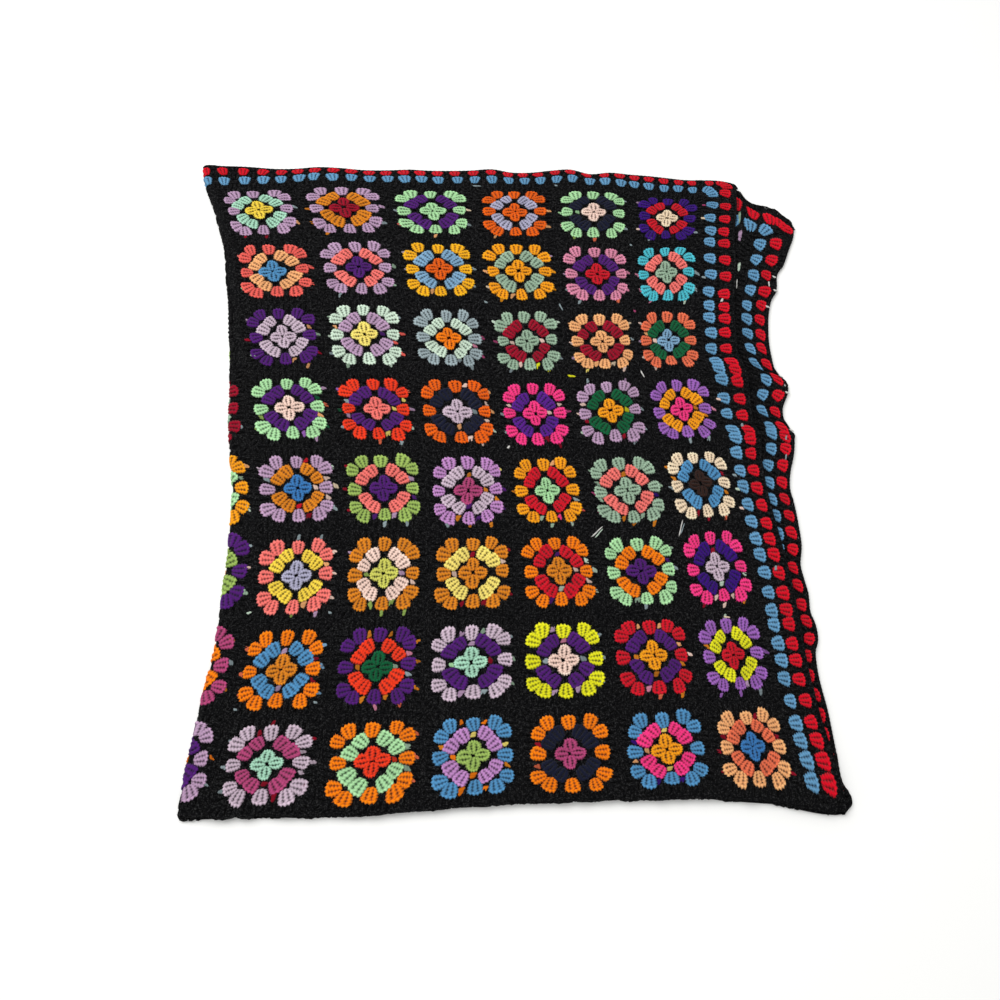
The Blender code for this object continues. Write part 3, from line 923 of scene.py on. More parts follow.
@dataclass(frozen=True)
class Cluster:
    """Three treble stitches worked into one space, fanned under a plaited chain.

    A post is a strand with a lump for each wrap of yarn, and the chain one with a V for each stitch.
    The lumps of the middle post lie between those of its neighbours, which leaves a net of small
    dark holes between them. Shade is painted into the colour too: darker at the hollows and the
    sides of the posts, and lighter on the plait's bumps as a painted highlight.
    """

    length: float = 20.0
    foot: float = 3.4
    crown: float = 6.3
    belly: float = 0.3
    foot_half: float = 2.9
    crown_half: float = 4.2
    post_depth: float = 1.5
    chain_half: float = 2.6
    chain_depth: float = 1.5
    chain_bump: float = 0.7
    round_top: float = 2.8
    hollow: float = 0.73
    # Painted shade and highlight, as factors on the colour: on a post's hollows, on the sides of its
    # hollows and swells, and on the plait's hollows and bumps.
    painted_hollow_shade: float = 0.86
    painted_side_shades: Pair = (0.44, 0.93)
    painted_chain_light: Pair = (0.82, 1.16)
    lean: float = 0.35
    height: float = 0.7
    stagger: int = 1
    # A post ends under the plait, its middle stands up in a hump, and the outer two lie lower.
    # Its depth holds steadier than its width.
    post_share: float = 0.86
    depth_hold: float = 0.6
    post_sink: float = 0.2
    hump: float = 0.6
    outer_sink: float = 0.25
    # The plait's hollows and tips as a share of its bumps, how far it passes the middles of the outer
    # posts as a share of their half width, its height over the posts and the sink of its ends, and the
    # painted shade on the sides of its hollows and bumps.
    plait_hollow: float = 0.66
    plait_tip: float = 0.45
    plait_past: float = 0.62
    plait_rise: float = 0.4
    plait_sink: float = 0.6
    plait_painted_side_shades: Pair = (0.6, 0.9)

    def post(self, number: int, detail: Detail) -> Template:
        """One post: its centre line fans out from the foot, and its radius swells at each wrap."""
        rings, around, _ = detail.value
        t = np.linspace(0, 1, rings)
        swell = (np.arange(rings) + number * self.stagger) % 2 == 1
        size = np.where(swell, 1.0, self.hollow)
        spread = self.foot + (self.crown - self.foot) * np.sin(np.pi / 2 * t)
        spread = spread + self.belly * np.sin(np.pi * t)
        span = self.length * (self.post_share if detail is not Detail.HIDDEN else 1.0)
        bow = number**2 * ((1 - t) ** 2 - 0.5 * self.round_top * t**2)
        rise = self.height - self.post_sink + self.hump * np.sin(np.pi * t)
        rise = rise - self.outer_sink * number**2
        centre = np.stack([number * spread, span * t + bow, rise], axis=1)
        half = (self.foot_half + (self.crown_half - self.foot_half) * t) * size
        side = np.tile([1.0, 0.0], (rings, 1))
        # Painted shade: each hollow ring is darker on top, and every ring is darker on its sides.
        tone = np.where(swell, 1.0, self.painted_hollow_shade)
        dark = np.where(swell, self.painted_side_shades[1], self.painted_side_shades[0])
        slant = np.array([self.lean, 0.0])
        deep = self.post_depth * (self.depth_hold + (1 - self.depth_hold) * size)
        return strand(centre, side, half, deep, slant, tone, dark, around)

    def chain(self, detail: Detail) -> Template:
        """The plaited top: it arches over the posts, a bump on each, with its ends lower."""
        _, around, rings = detail.value
        t = np.linspace(-1, 1, rings)
        swell = np.arange(rings) % 2 == 1
        size = np.where(swell, 1.0, self.plait_hollow)
        size[[0, -1]] = self.plait_tip
        reach = self.crown + self.plait_past * self.crown_half
        arch = self.length - self.chain_half - self.round_top * t**2 + self.chain_bump * swell
        rise = self.height + self.plait_rise - self.plait_sink * t**2
        centre = np.stack([-reach * t, arch, rise], axis=1)
        side = np.tile([0.0, 1.0], (rings, 1))
        # Painted light: the plait's bumps are lighter and its hollows darker, and its sides darker still.
        tone = np.where(swell, self.painted_chain_light[1], self.painted_chain_light[0])
        slant = np.array([0.0, self.lean])
        half = self.chain_half * size
        dark = np.where(swell, self.plait_painted_side_shades[1], self.plait_painted_side_shades[0])
        return strand(centre, side, half, self.chain_depth * size, slant, tone, dark, around)

    def template(self, detail: Detail) -> Template:
        """The whole cluster, one unit wide and long, centred on its middle and pointing along +y."""
        parts = [self.post(number, detail) for number in (-1, 0, 1)]
        if detail.value[2]:
            parts.append(self.chain(detail))
        whole = joined(parts)
        low, high = whole.points.min(axis=0), whole.points.max(axis=0)
        middle = np.array([0.0, (low[1] + high[1]) / 2, 0.0])
        return replace(whole, points=(whole.points - middle) / (*(high - low)[:2], 1.0))


class Kind(IntEnum):
    """How a cluster is worked: fanned, close in black, or as a petal of the middle round."""

    COLOURED = 0
    BLACK = 1
    PETAL = 2


# The four of the middle round fill it, like the petals of a flower.
PETAL = Cluster(
    foot=3.2, crown=4.5, belly=2.9, foot_half=3.2, crown_half=4.1, round_top=3.0,
    painted_side_shades=(0.5, 0.95),
)  # fmt: skip
# Black rounds are worked close, so their clusters are square, side by side and even in tone.
CLOSE = Cluster(
    foot=6.3, crown=6.9, belly=0.3, foot_half=3.7, crown_half=3.9, round_top=1.2, post_depth=1.2,
    chain_depth=1.2, chain_bump=0.0, hollow=0.74, painted_hollow_shade=0.8, painted_side_shades=(0.4, 0.8),
    painted_chain_light=(0.8, 1.0), height=0.0, stagger=0,
)  # fmt: skip


@dataclass
class Rows:
    """Clusters to be worked, a row each in every array, with lengths in millimetres.

    The centre is given from the middle of the cluster's square, and the warp is how the square is
    turned and sheared.
    """

    centre: Array
    heading: Array
    size: Array
    colour: Array
    kind: Array
    middle: Array
    warp: Array

    @classmethod
    def loose(
        cls, heading: Array, size: Array, colour: Array, kind: Array, middle: Array
    ) -> Rows:
        """Make clusters of no square: each lies at its middle, and nothing turns or shears it."""
        count = len(middle)
        warp = np.tile(np.eye(2), (count, 1, 1))
        return cls(np.zeros((count, 2)), heading, size, colour, kind, middle, warp)

    def pick(self, mask: Array) -> Rows:
        """Keep the clusters of a mask."""
        return Rows(*(getattr(self, name)[mask] for name in self.__dataclass_fields__))

    def __add__(self, other: Rows) -> Rows:
        """Put two sets of clusters together."""
        names = self.__dataclass_fields__
        return Rows(*(np.concatenate([getattr(self, n), getattr(other, n)]) for n in names))

    def __len__(self) -> int:
        """How many clusters there are."""
        return len(self.centre)


@dataclass
class Mesh:
    """A mesh as whole arrays, gathered before it goes to Blender."""

    points: Array
    faces: Array
    colour: Array
    atlas: Array
    strand: Array
    slot: Array

    def __add__(self, other: Mesh) -> Mesh:
        """Put two meshes together."""
        shifted = replace(other, faces=other.faces + len(self.points))
        names = self.__dataclass_fields__
        return Mesh(*(np.concatenate([getattr(self, n), getattr(shifted, n)]) for n in names))

    def piece(self, name: str, materials: list[bpy.types.Material]) -> bpy.types.Object:
        """Make a Blender object of the arrays.

        Args:
            name: The piece's name.
            materials: Its materials, in the order of the slots.

        Returns:
            The new object, linked to the scene.
        """
        mesh = bpy.data.meshes.new(name)
        corners = self.faces.size
        mesh.vertices.add(len(self.points))
        mesh.vertices.foreach_set("co", self.points.astype(np.float32).ravel())
        mesh.loops.add(corners)
        mesh.loops.foreach_set("vertex_index", self.faces.astype(np.int32).ravel())
        mesh.polygons.add(len(self.faces))
        mesh.polygons.foreach_set("loop_start", np.arange(0, corners, 4, dtype=np.int32))
        for material in materials:
            mesh.materials.append(material)
        mesh.polygons.foreach_set("material_index", self.slot.astype(np.int32))
        colour = mesh.attributes.new(COLOUR_MAP, "FLOAT_COLOR", "POINT")
        rgba = np.column_stack([self.colour, np.ones(len(self.colour))])
        colour.data.foreach_set("color", rgba.astype(np.float32).ravel())
        for layer, values in ((ATLAS_MAP, self.atlas), (STITCH_MAP, self.strand)):
            uv = mesh.uv_layers.new(name=layer, do_init=False)
            uv.uv.foreach_set("vector", values.astype(np.float32).ravel())
        mesh.update(calc_edges=True)
        mesh.shade_smooth()
        obj = bpy.data.objects.new(name, mesh)
        bpy.context.scene.collection.objects.link(obj)
        LOG.info("%s: %d triangles", name, 2 * len(self.faces))
        return obj


# How far from a square's middle the turn and shear of the square start to fade and end, in mm.
WARP_FADE = (44.0, 66.0)


def worked(
    rows: Rows, template: Template, cloth: FoldedCloth, loft: float = 1.0, lift: float = 0.0,
    tiles: tuple[int, int] = (0, 0),
) -> Mesh:  # fmt: skip
    """Work clusters into the cloth.

    A template's point goes to centre + x side + y heading on the flat cloth, is turned and sheared
    with its square by an amount that fades to nothing at the square's sides, and is then laid.

    Args:
        rows: The clusters.
        template: The shape of each.
        cloth: The folds.
        loft: Share of its full depth that each keeps.
        lift: Millimetres added to the height.
        tiles: The first tile on the atlas, and how many tiles it has a side, or 0 for as many as fit.

    Returns:
        The clusters as one mesh.
    """
    count, corners = len(rows), len(template.points)
    ahead = np.stack([np.cos(rows.heading), np.sin(rows.heading)], axis=1)[:, None, :]
    side = np.stack([np.sin(rows.heading), -np.cos(rows.heading)], axis=1)[:, None, :]
    x = template.points[None, :, 0] * rows.size[:, :1]
    y = template.points[None, :, 1] * rows.size[:, 1:]
    local = rows.centre[:, None, :] + x[..., None] * side + y[..., None] * ahead
    reach = np.max(np.abs(local), axis=-1, keepdims=True)
    hold = 1 - smoothstep(reach, *WARP_FADE)
    turned = np.einsum("nij,nkj->nki", rows.warp, local)
    flat = rows.middle[:, None, :] + local + (turned - local) * hold
    height = np.tile(template.points[:, 2] * loft + lift, count)
    points = cloth.lay(flat.reshape(-1, 2), height)
    # Each yarn's colour takes the template's painted shade and highlight.
    colour = (rows.colour[:, None, :] * template.tone[None, :, None]).reshape(-1, 3)
    faces = (template.faces[None] + (np.arange(count) * corners)[:, None, None]).reshape(-1, 4)
    first, grid = tiles
    grid = grid or tiles_a_side(count)
    number = np.arange(first, first + count)
    tile = np.stack([number % grid, number // grid], axis=1)[:, None, None, :]
    atlas = ((template.tile[None] + tile) / grid).reshape(-1, 2)
    strands = np.tile(template.strand.reshape(-1, 2), (count, 1))
    slot = np.repeat(rows.kind == Kind.BLACK, len(template.faces))
    return Mesh(points, faces, np.clip(colour, 0.0, 1.0), atlas, strands, slot)


def worked_finely(rows: Rows, cluster: Cluster, cloth: FoldedCloth) -> Mesh:
    """Work clusters that show, each kind with its own template, on one atlas.

    Args:
        rows: The clusters, of any kind.
        cluster: The shape of the coloured ones.
        cloth: The folds.

    Returns:
        The clusters as one mesh.
    """
    templates = {
        Kind.COLOURED: cluster.template(Detail.FINE),
        Kind.BLACK: CLOSE.template(Detail.PLAIN),
        Kind.PETAL: PETAL.template(Detail.FINE),
    }
    grid = tiles_a_side(len(rows))
    first, meshes = 0, []
    for kind, template in templates.items():
        part = rows.pick(rows.kind == kind)
        if len(part):
            meshes.append(worked(part, template, cloth, tiles=(first, grid)))
            first += len(part)
    return sum(meshes[1:], meshes[0])


# ---------------------------------------------------------------- the squares


# The chart of the squares that show, from the top row down and the left column on: each square's
# yarns from its outer coloured round to its middle.
CHART: tuple[str, ...] = (
    "LILAC SEAFOAM YELLOW, LILAC OCHRE CRIMSON, MINT PURPLE MINT,"
    " BURNT_ORANGE LAVENDER BURNT_ORANGE, MINT NAVY PALE_PINK, INDIGO RED CREAM",
    "CORAL PEACH DENIM, LILAC SALMON PURPLE, AMBER LIGHT_BLUE BURNT_ORANGE,"
    " MARIGOLD SAGE MARIGOLD, DUSTY_PINK PURPLE RED, TURQUOISE SALMON SAGE",
    "PURPLE PALE_LILAC PALE_LILAC, PALE_MINT LILAC LEMON, GREY PALE_MINT ORANGE,"
    " SAGE CRIMSON SAGE, PEACH CRIMSON PEACH, TERRACOTTA DARK_GREEN LIGHT_BLUE",
    "MINT PURPLE PALE_PINK, VERMILION PURPLE SALMON, BURNT_ORANGE NAVY PALE_LILAC,"
    " HOT_PINK VIOLET HOT_PINK, LILAC DARK_GREEN MARIGOLD, ORCHID MARIGOLD HOT_PINK",
    "LILAC OCHRE BLUE, OLIVE SALMON PURPLE, PINK_LILAC PALE_LILAC RASPBERRY, MARIGOLD RED MINT,"
    " SAGE SALMON SAGE, CREAM DENIM BROWN",
    "SALMON YELLOW LAVENDER, OCHRE PALE_PINK CITRON, OCHRE LEMON OCHRE, ORANGE RED OCHRE,"
    " MINT ORANGE PURPLE, HOT_PINK INDIGO PALE_LILAC",
    "ORANGE DENIM OCHRE, PURPLE VERMILION DARK_GREEN, PALE_LILAC PURPLE SEAFOAM,"
    " CHARTREUSE PURPLE PALE_PINK, RED PURPLE MARIGOLD, ORCHID CHARTREUSE RED",
    "PALE_LILAC RASPBERRY SEAFOAM, ORANGE MINT VERMILION, DENIM PINK_LILAC OLIVE,"
    " ORANGE NAVY RASPBERRY, DENIM HOT_PINK MARIGOLD, PEACH TERRACOTTA BLUE",
)
# The column that goes round the left fold, from the top row down.
FOLD_COLUMN: tuple[str, ...] = (
    "SALMON CREAM PURPLE", "DENIM LILAC RED", "OLIVE PURPLE PEACH", "CRIMSON SAGE LEMON",
    "MARIGOLD MINT PURPLE", "PURPLE OLIVE PEACH", "RASPBERRY ORANGE MINT", "LILAC PURPLE ORANGE",
)  # fmt: skip
# The chart of the loose loops of the squares that show, in the same order and with the column of the
# left fold at the end of each row: a yarn, then the slots where a loop of it shows.
LOOPS: tuple[str, ...] = (
    "GREY e PEACH e2 CRIMSON s s1, OCHRE w w2 s1 LILAC e GREY e2, GREY w e2 SALMON w2 PEACH s CREAM e,"
    " PEACH e e2 s1, MINT w wi PALE_PINK w2 GREY e1 e2 OLIVE s1 TERRACOTTA s,"
    " LILAC w1 PALE_PINK w2 GREY e2 s1, ",
    "CORAL e e2 SALMON w1 MINT w2, LILAC e1 SAGE e e2 GREY s1, PALE_LILAC w1 w GREY e e2 PEACH sa,"
    " PEACH w sa CREAM w2 MARIGOLD e e2 s1 LILAC e1,"
    " LILAC w GREY w2 s1 DUSTY_PINK e e2 TERRACOTTA s2,"
    " GREY e e2 DUSTY_PINK s1 w w2 PALE_MINT s2, ",
    "LILAC w1 CRIMSON w e2 PALE_MINT w2 PEACH ea sb s2 SAGE e,"
    " SAGE w1 s1 PALE_MINT w s2 GREY w2 e1 PEACH wa CORAL e eb e2 PURPLE ei,"
    " RASPBERRY e e2 DUSTY_PINK eb GREY s2 sb,"
    " PALE_MINT w1 e1 RASPBERRY w PALE_PINK ei wi sa CHARTREUSE sb s2 GREY s1 e2,"
    " PEACH w1 sa PALE_PINK w s2 LILAC w2 CREAM e1 sb LEMON s1 GREY e,"
    " LILAC w PALE_PINK w1 w2 wi s1 PEACH wa, ",
    "LILAC e1 s2 DARK_GREEN ea e2 TERRACOTTA e PEACH eb OLIVE w2 wb ORCHID sb,"
    " ORCHID w1 GREY wa w2 s2 DARK_GREEN w LILAC wb e TERRACOTTA e1 s LEMON ea ei sb PALE_MINT e2,"
    " PEACH e1 e si PALE_PINK ea eb sb s2 nb GREY ei PALE_MINT e2,"
    " PALE_PINK wa ea ei GREY w w2 CRIMSON e1 sb s2 RASPBERRY e,"
    " PALE_MINT w2 PALE_PINK wa w CRIMSON sb wb CHARTREUSE ei GREY e e2 s2 n1 LILAC n2,"
    " GREY s s2 OCHRE eb ei DUSTY_PINK e, GREY e2",
    "RED nb si CRIMSON sb PALE_LILAC w1 GREY wa e2 PALE_MINT e1 PALE_PINK ea ei eb CREAM e OCHRE w2,"
    " CRIMSON w1 w w2 LILAC ea sb PURPLE eb sa GREY s s2,"
    " OCHRE ni ei eb sa s s2 LEMON e1 PURPLE sb si e e2 GREY s1,"
    " OCHRE w PEACH w2 nb SAGE sa s PALE_MINT s2 HOT_PINK sb CORAL e2 GREY eb,"
    " SAGE w1 e e2 wa wb sb RASPBERRY w w2 INDIGO eb OCHRE sa s s2 ni,"
    " OCHRE w1 wa eb CRIMSON sa s ea TERRACOTTA s2 GREY w, PEACH e1 SAGE ea PALE_MINT e2",
    "PALE_PINK e e1 e2 GREY n n2 OLIVE s LILAC s2 PEACH ea sb,"
    " OLIVE wi sa sb s s2 LILAC ei w1 PALE_PINK eb, CRIMSON ni e1 e2 sa sb PALE_PINK ea wi,"
    " PALE_MINT ea si e e2 PALE_PINK ei eb PURPLE ni sa, PURPLE ea SAGE sa e1 GREY e s,"
    " CRIMSON ni s1 PALE_MINT si eb PALE_PINK s sa sb OCHRE s2, GREY e1 PALE_PINK e SAGE e2",
    "LIGHT_BLUE e1 e e2 CRIMSON ea eb LILAC ni si TERRACOTTA w1 w w2,"
    " OCHRE na nb wi sa sb e1 e e2 SAGE ei GREY eb DUSTY_PINK ea s TERRACOTTA s2,"
    " SAGE nb e e2 LILAC na ni sa GREY e1 sb CRIMSON ei MINT wi,"
    " GREY e1 e e2 wi ei LILAC na sa sb DUSTY_PINK ni,"
    " PEACH na nb ea OCHRE eb s2 wi si TERRACOTTA s DUSTY_PINK sa PALE_PINK e,"
    " PALE_MINT n ORCHID s1 s e LILAC sb GREY s2 OCHRE wa, OCHRE e1 GREY e OCHRE e2",
    "CRIMSON na e1 e2 si sb n PALE_LILAC e ea eb GREY w w1 w2,"
    " TERRACOTTA e1 e e2 SAGE ea eb VERMILION ei,"
    " ORANGE na nb wi si sa sb LEMON ni ea OCHRE eb wa, CRIMSON wa TERRACOTTA wb,"
    " INDIGO wa sa sb LEMON ni si PEACH wi wb, CRIMSON w w2 ea e2 nb wa, ORANGE e GREY e2",
)
# The yarns of the squares that don't show.
SPARE_YARNS: tuple[str, ...] = (
    "LILAC", "MINT", "MARIGOLD", "ORANGE", "SALMON", "PURPLE", "DENIM", "SAGE", "RED", "HOT_PINK",
    "PALE_PINK", "CREAM", "OLIVE", "RASPBERRY", "PALE_LILAC", "OCHRE", "LIGHT_BLUE", "PEACH",
)  # fmt: skip
# How far past a fold a cluster still counts as one of the top face, in squares.
PAST_FOLD = 0.09

# The kinds of the four rounds, from the middle out.
KINDS: tuple[Kind, ...] = (Kind.PETAL, Kind.COLOURED, Kind.COLOURED, Kind.BLACK)


@dataclass
class Squares:
    """The granny squares: three coloured rounds and a black one, joined side to side."""

    cloth: FoldedCloth
    cluster: Cluster = field(default_factory=Cluster)
    # How far squares turn and shear at random, how far clusters stray and lean, and the factors on
    # their shades and sizes. Loose loops have their own four.
    seed: int = 11
    mean_turn_degrees: float = 1.0
    turn_degrees: float = 3.0
    shear: float = 0.05
    wobble_mm: float = 0.9
    lean_degrees: float = 5.0
    shades: Pair = (0.92, 1.06)
    sizes: Pair = (0.91, 1.08)
    loop_wobble_mm: float = 1.0
    loop_lean_degrees: float = 12.0
    loop_shades: Pair = (0.5, 0.88)
    loop_sizes: Pair = (0.75, 1.08)
    # How each square that shows is pulled out of true, in hundredths: x by x, x by y, y by x and
    # y by y. A row of squares a line, from the top edge down.
    pulls: tuple[str, ...] = (
        "1 2 7 6, -4 1 0 9, -1 -5 4 3, -8 2 1 4, -1 4 2 3, -11 3 -5 -3",
        "4 2 8 -3, -2 2 0 -3, 0 4 1 -1, -2 1 3 3, -2 -5 2 -1, -5 -8 11 5",
        "-2 -3 6 -3, 1 1 1 0, -6 2 1 -8, -7 -2 5 -2, 3 -4 4 -5, -2 2 3 -5",
        "-2 -4 7 -3, -2 1 -1 -6, 7 4 1 0, -3 2 2 -4, 2 1 6 -4, -4 2 9 -6",
        "-3 0 4 -6, 2 -1 2 -3, 3 8 4 -3, -5 -1 2 -3, 2 -7 5 -3, -1 -3 7 0",
        "-4 0 3 -5, -4 2 3 -4, 1 2 3 1, -4 -2 1 -1, 2 -3 4 -5, -4 -7 7 -2",
        "-2 2 -1 -3, -4 4 2 -4, 5 -1 5 -6, 0 3 2 -4, -1 -3 3 -2, -9 -2 5 -5",
        "-1 -2 1 -6, 0 -3 7 -2, -3 -1 4 -3, -4 2 1 -3, -2 0 2 -7, -6 -3 0 -8",
    )
    # How far the column at the left fold is shifted, in mm across and along, from the top row down.
    fold_shift: Knots = (
        (-12.0, 0.0), (-12.0, 0.0), (-12.0, 0.0), (1.5, 2.5), (6.0, 0.0), (7.5, 11.5), (0.5, 10.0),
        (-1.0, 10.0),
    )  # fmt: skip
    # Slots of loose loops: name, x, y, heading in degrees, width and length in mm. They lie past the
    # clusters (n, e, s, w), in the gaps of the outer round (na to wb) and by the middle (ni to wi).
    loop_slots: tuple[str, ...] = (
        "n1 -34.0 57.0 90 7.5 7.5, n 0.0 58.0 90 7.5 7.5, n2 34.0 57.0 90 7.5 7.5, e1 55.0 34.0 10 8.5 8.5",
        "e 57.5 3.0 0 8.5 8.5, e2 55.0 -33.0 -10 8.5 8.5, s2 34.0 -57.0 270 8.0 8.5",
        "s 0.0 -58.5 270 8.0 8.0, s1 -34.0 -57.0 270 8.0 8.0, w2 -55.0 -33.0 180 7.5 7.5",
        "w -57.0 -3.0 180 7.5 7.5, w1 -55.0 34.0 180 7.5 7.5, na -15.5 47.0 90 8.5 9.5",
        "nb 15.5 47.0 90 8.5 9.5, ea 46.0 15.5 0 8.5 9.5, eb 46.0 -15.0 0 8.5 9.5",
        "sb 15.5 -46.5 270 9.5 11.0, sa -15.5 -46.5 270 9.5 11.0, wb -46.0 -15.0 180 8.5 9.0",
        "wa -46.0 15.0 180 8.5 9.0, ni 0.0 27.5 90 10.0 8.5, ei 27.5 0.0 0 10.0 8.5",
        "si 0.0 -27.5 270 10.0 9.0, wi -27.5 0.0 180 10.0 8.5",
    )
    # Stray ends of yarn and specks: yarn, then mm across and along the cloth, heading in degrees, and
    # width and length in mm.
    tails: tuple[str, ...] = (
        "WHITE 532.0 393.2 42 2.4 26.0, PALE_MINT 534.6 390.6 47 2.2 20.0, WHITE 673.0 393.0 66 2.4 26.0",
        "GREY 676.0 392.0 60 2.2 18.0, CREAM 727.9 253.8 -2 3.0 10.3, GREY 400.7 1058.3 0 3.2 13.0",
        "GREY 533.1 1058.1 0 4.0 5.1, GREY 526.1 789.6 -62 3.2 12.5, CHARTREUSE 533.2 659.1 -2 4.5 13.2",
        "RASPBERRY 661.1 782.1 0 5.0 5.0, GREY 658.7 920.0 0 4.5 4.5, WHITE 663.9 660.0 -62 3.0 13.1",
        "WHITE 406.8 534.9 60 4.0 6.0, GREY 400.4 794.9 0 4.5 5.5, GREY 118.2 150.5 0 4.0 5.0",
        "GREY 10.6 145.2 0 4.0 5.0, PALE_MINT 6.0 280.0 30 4.0 6.0, GREY 122.3 275.4 0 4.0 5.0",
        "RASPBERRY 791.0 1027.1 186 5.0 6.0, CREAM 791.5 991.0 186 5.5 7.0, GREY 794.5 855.6 186 5.5 7.0",
        "PALE_PINK 795.5 615.9 184 5.5 7.5, GREY 793.7 478.4 184 5.5 7.5",
        "PALE_MINT 793.6 454.4 184 5.5 7.5, PALE_PINK 793.1 423.1 184 5.5 7.5",
        "WHITE 830.0 812.2 80 5.0 7.5, GREY 829.5 569.7 80 5.5 8.0, GREY 829.5 330.0 80 5.5 8.0",
        "WHITE -980.8 -979.3 200 4.5 6.0, WHITE -983.5 -950.7 205 4.5 6.0, WHITE -981.5 -914.0 200 4.5 6.5",
        "WHITE -985.0 -767.2 200 4.5 6.5, WHITE -984.0 -734.2 200 4.5 6.0, WHITE -985.2 -657.7 200 4.5 6.5",
        "WHITE -972.3 -959.3 104 3.0 10.0, GREY -971.3 -636.2 87 3.5 11.0, GREY -973.5 -599.9 99 3.0 10.0",
        "LILAC -906.4 -1036.9 104 7.0 20.8, SAGE -900.4 -1067.2 93 5.0 16.0",
        "PALE_MINT -920.4 -973.7 103 5.5 17.0, WHITE -924.6 -937.6 102 2.4 18.0",
    )
    # The clusters of the north side: round, x, y, heading in degrees, width and length in mm.
    # The other three sides are quarter turns of it. Round 0 is the middle and round 3 the black one.
    north: Table = (
        (0, 0.0, 12.4, 90, 21.5, 22.0),
        (1, 15.8, 29.4, 54, 25.2, 22.5),
        (1, -15.8, 29.4, 126, 25.2, 22.5),
        (2, 0.0, 44.4, 90, 23.4, 22.6),
        (2, 30.8, 44.4, 76, 24.2, 22.6),
        (2, -30.8, 44.4, 104, 24.2, 22.6),
        (3, 13.4, 55.5, 90, 28.0, 23.0),
        (3, -13.4, 55.5, 90, 28.0, 23.0),
        (3, 40.2, 55.5, 88, 28.0, 23.0),
        (3, -40.2, 55.5, 92, 28.0, 23.0),
        (3, 57.5, 57.5, 45, 22.0, 21.0),
    )
    # The underside is made in two, parted this many squares from the left fold. Of the layer on it,
    # the clusters past `peek` squares are made, without the coloured ones past `slit` squares
    # across, because only black shows in the slit beside the upper layers.
    underside_split: float = 3.7
    peek: float = 6.3
    slit: float = 6.79
    underside_loft: float = 0.72
    peek_loft: float = 0.9
    tail_tone: float = 0.85
    tail_lift_mm: float = 1.0

    def yarns(self) -> Array:
        """Linear colours by column from the left end, row from the under end, and round."""
        rng = np.random.default_rng(self.seed)
        columns = self.cloth.left + self.cloth.right
        table = np.empty((columns, 2 * self.cloth.long, 4, 3))
        charted, at_fold = entries(CHART), entries(FOLD_COLUMN)
        for c, r in np.ndindex(table.shape[:2]):
            picked = rng.choice(SPARE_YARNS, 3, replace=False)
            k, line = c - self.cloth.left, 2 * self.cloth.long - 1 - r
            if line < self.cloth.long and k >= 0:
                picked = charted[line * self.cloth.right + k]
            elif line < self.cloth.long and k == -1:
                picked = at_fold[line]
            elif c == 0 and r == 0:
                picked = ["DUSTY_PINK", *picked[1:]]
            outer, middle, centre = (Yarn[name].light for name in picked)
            table[c, r] = (centre, middle, outer, Yarn.BLACK.light)
        return table

    def middles(self) -> Array:
        """The middle of each square on the flat cloth, in mm, by column and line."""
        columns = np.arange(-self.cloth.left, self.cloth.right)
        lines = np.arange(-self.cloth.long, self.cloth.long)
        grid = np.stack(np.meshgrid(columns, lines, indexing="ij"), axis=-1) + 0.5
        grid = grid * self.cloth.square_mm
        grid[self.cloth.left - 1, self.cloth.long :] += np.array(self.fold_shift)[::-1]
        return grid

    def warps(self) -> Array:
        """How each square is turned and sheared: by the pulls table, and at random where hidden."""
        rng = np.random.default_rng(self.seed + 2)
        shape = (self.cloth.left + self.cloth.right, 2 * self.cloth.long)
        turn = self.mean_turn_degrees + rng.uniform(-1, 1, shape) * self.turn_degrees
        turn = np.radians(turn)
        shear = rng.uniform(-1, 1, (*shape, 2)) * self.shear
        warp = np.empty((*shape, 2, 2))
        warp[..., 0, 0], warp[..., 0, 1] = np.cos(turn), -np.sin(turn) + shear[..., 0]
        warp[..., 1, 0], warp[..., 1, 1] = np.sin(turn) + shear[..., 1], np.cos(turn)
        pulls = np.array(entries(self.pulls), dtype=float)
        pulls = pulls.reshape(self.cloth.long, self.cloth.right, 2, 2)[::-1].swapaxes(0, 1) / 100
        warp[self.cloth.left :, self.cloth.long :] = np.eye(2) + pulls
        return warp

    def rows(self) -> Rows:
        """Every cluster of every square."""
        rng = np.random.default_rng(self.seed)
        north = np.array(self.north)
        turns = np.arange(4) * np.pi / 2
        cos, sin = np.cos(turns)[:, None], np.sin(turns)[:, None]
        x = (cos * north[:, 1] - sin * north[:, 2]).ravel()
        y = (sin * north[:, 1] + cos * north[:, 2]).ravel()
        heading = (np.radians(north[:, 3]) + turns[:, None]).ravel()
        rounds = np.tile(north[:, 0], 4).astype(int)
        size = np.tile(north[:, 4:6], (4, 1))

        yarns = self.yarns()
        middle = self.middles().reshape(-1, 2)
        squares, slots = len(middle), len(x)
        warp = self.warps().reshape(squares, 2, 2)
        count = squares * slots
        centre = np.tile(np.stack([x, y], axis=1), (squares, 1))
        centre = centre + rng.normal(0, self.wobble_mm, (count, 2))
        lean = np.radians(rng.normal(0, self.lean_degrees, count))
        colour = yarns[:, :, rounds].reshape(-1, 3) * rng.uniform(*self.shades, (count, 1))
        return Rows(
            centre=centre,
            heading=np.tile(heading, squares) + lean,
            size=np.tile(size, (squares, 1)) * rng.uniform(*self.sizes, (count, 2)),
            colour=colour,
            kind=np.tile(np.choose(rounds, KINDS), squares),
            middle=np.repeat(middle, slots, axis=0),
            warp=np.repeat(warp, slots, axis=0),
        )

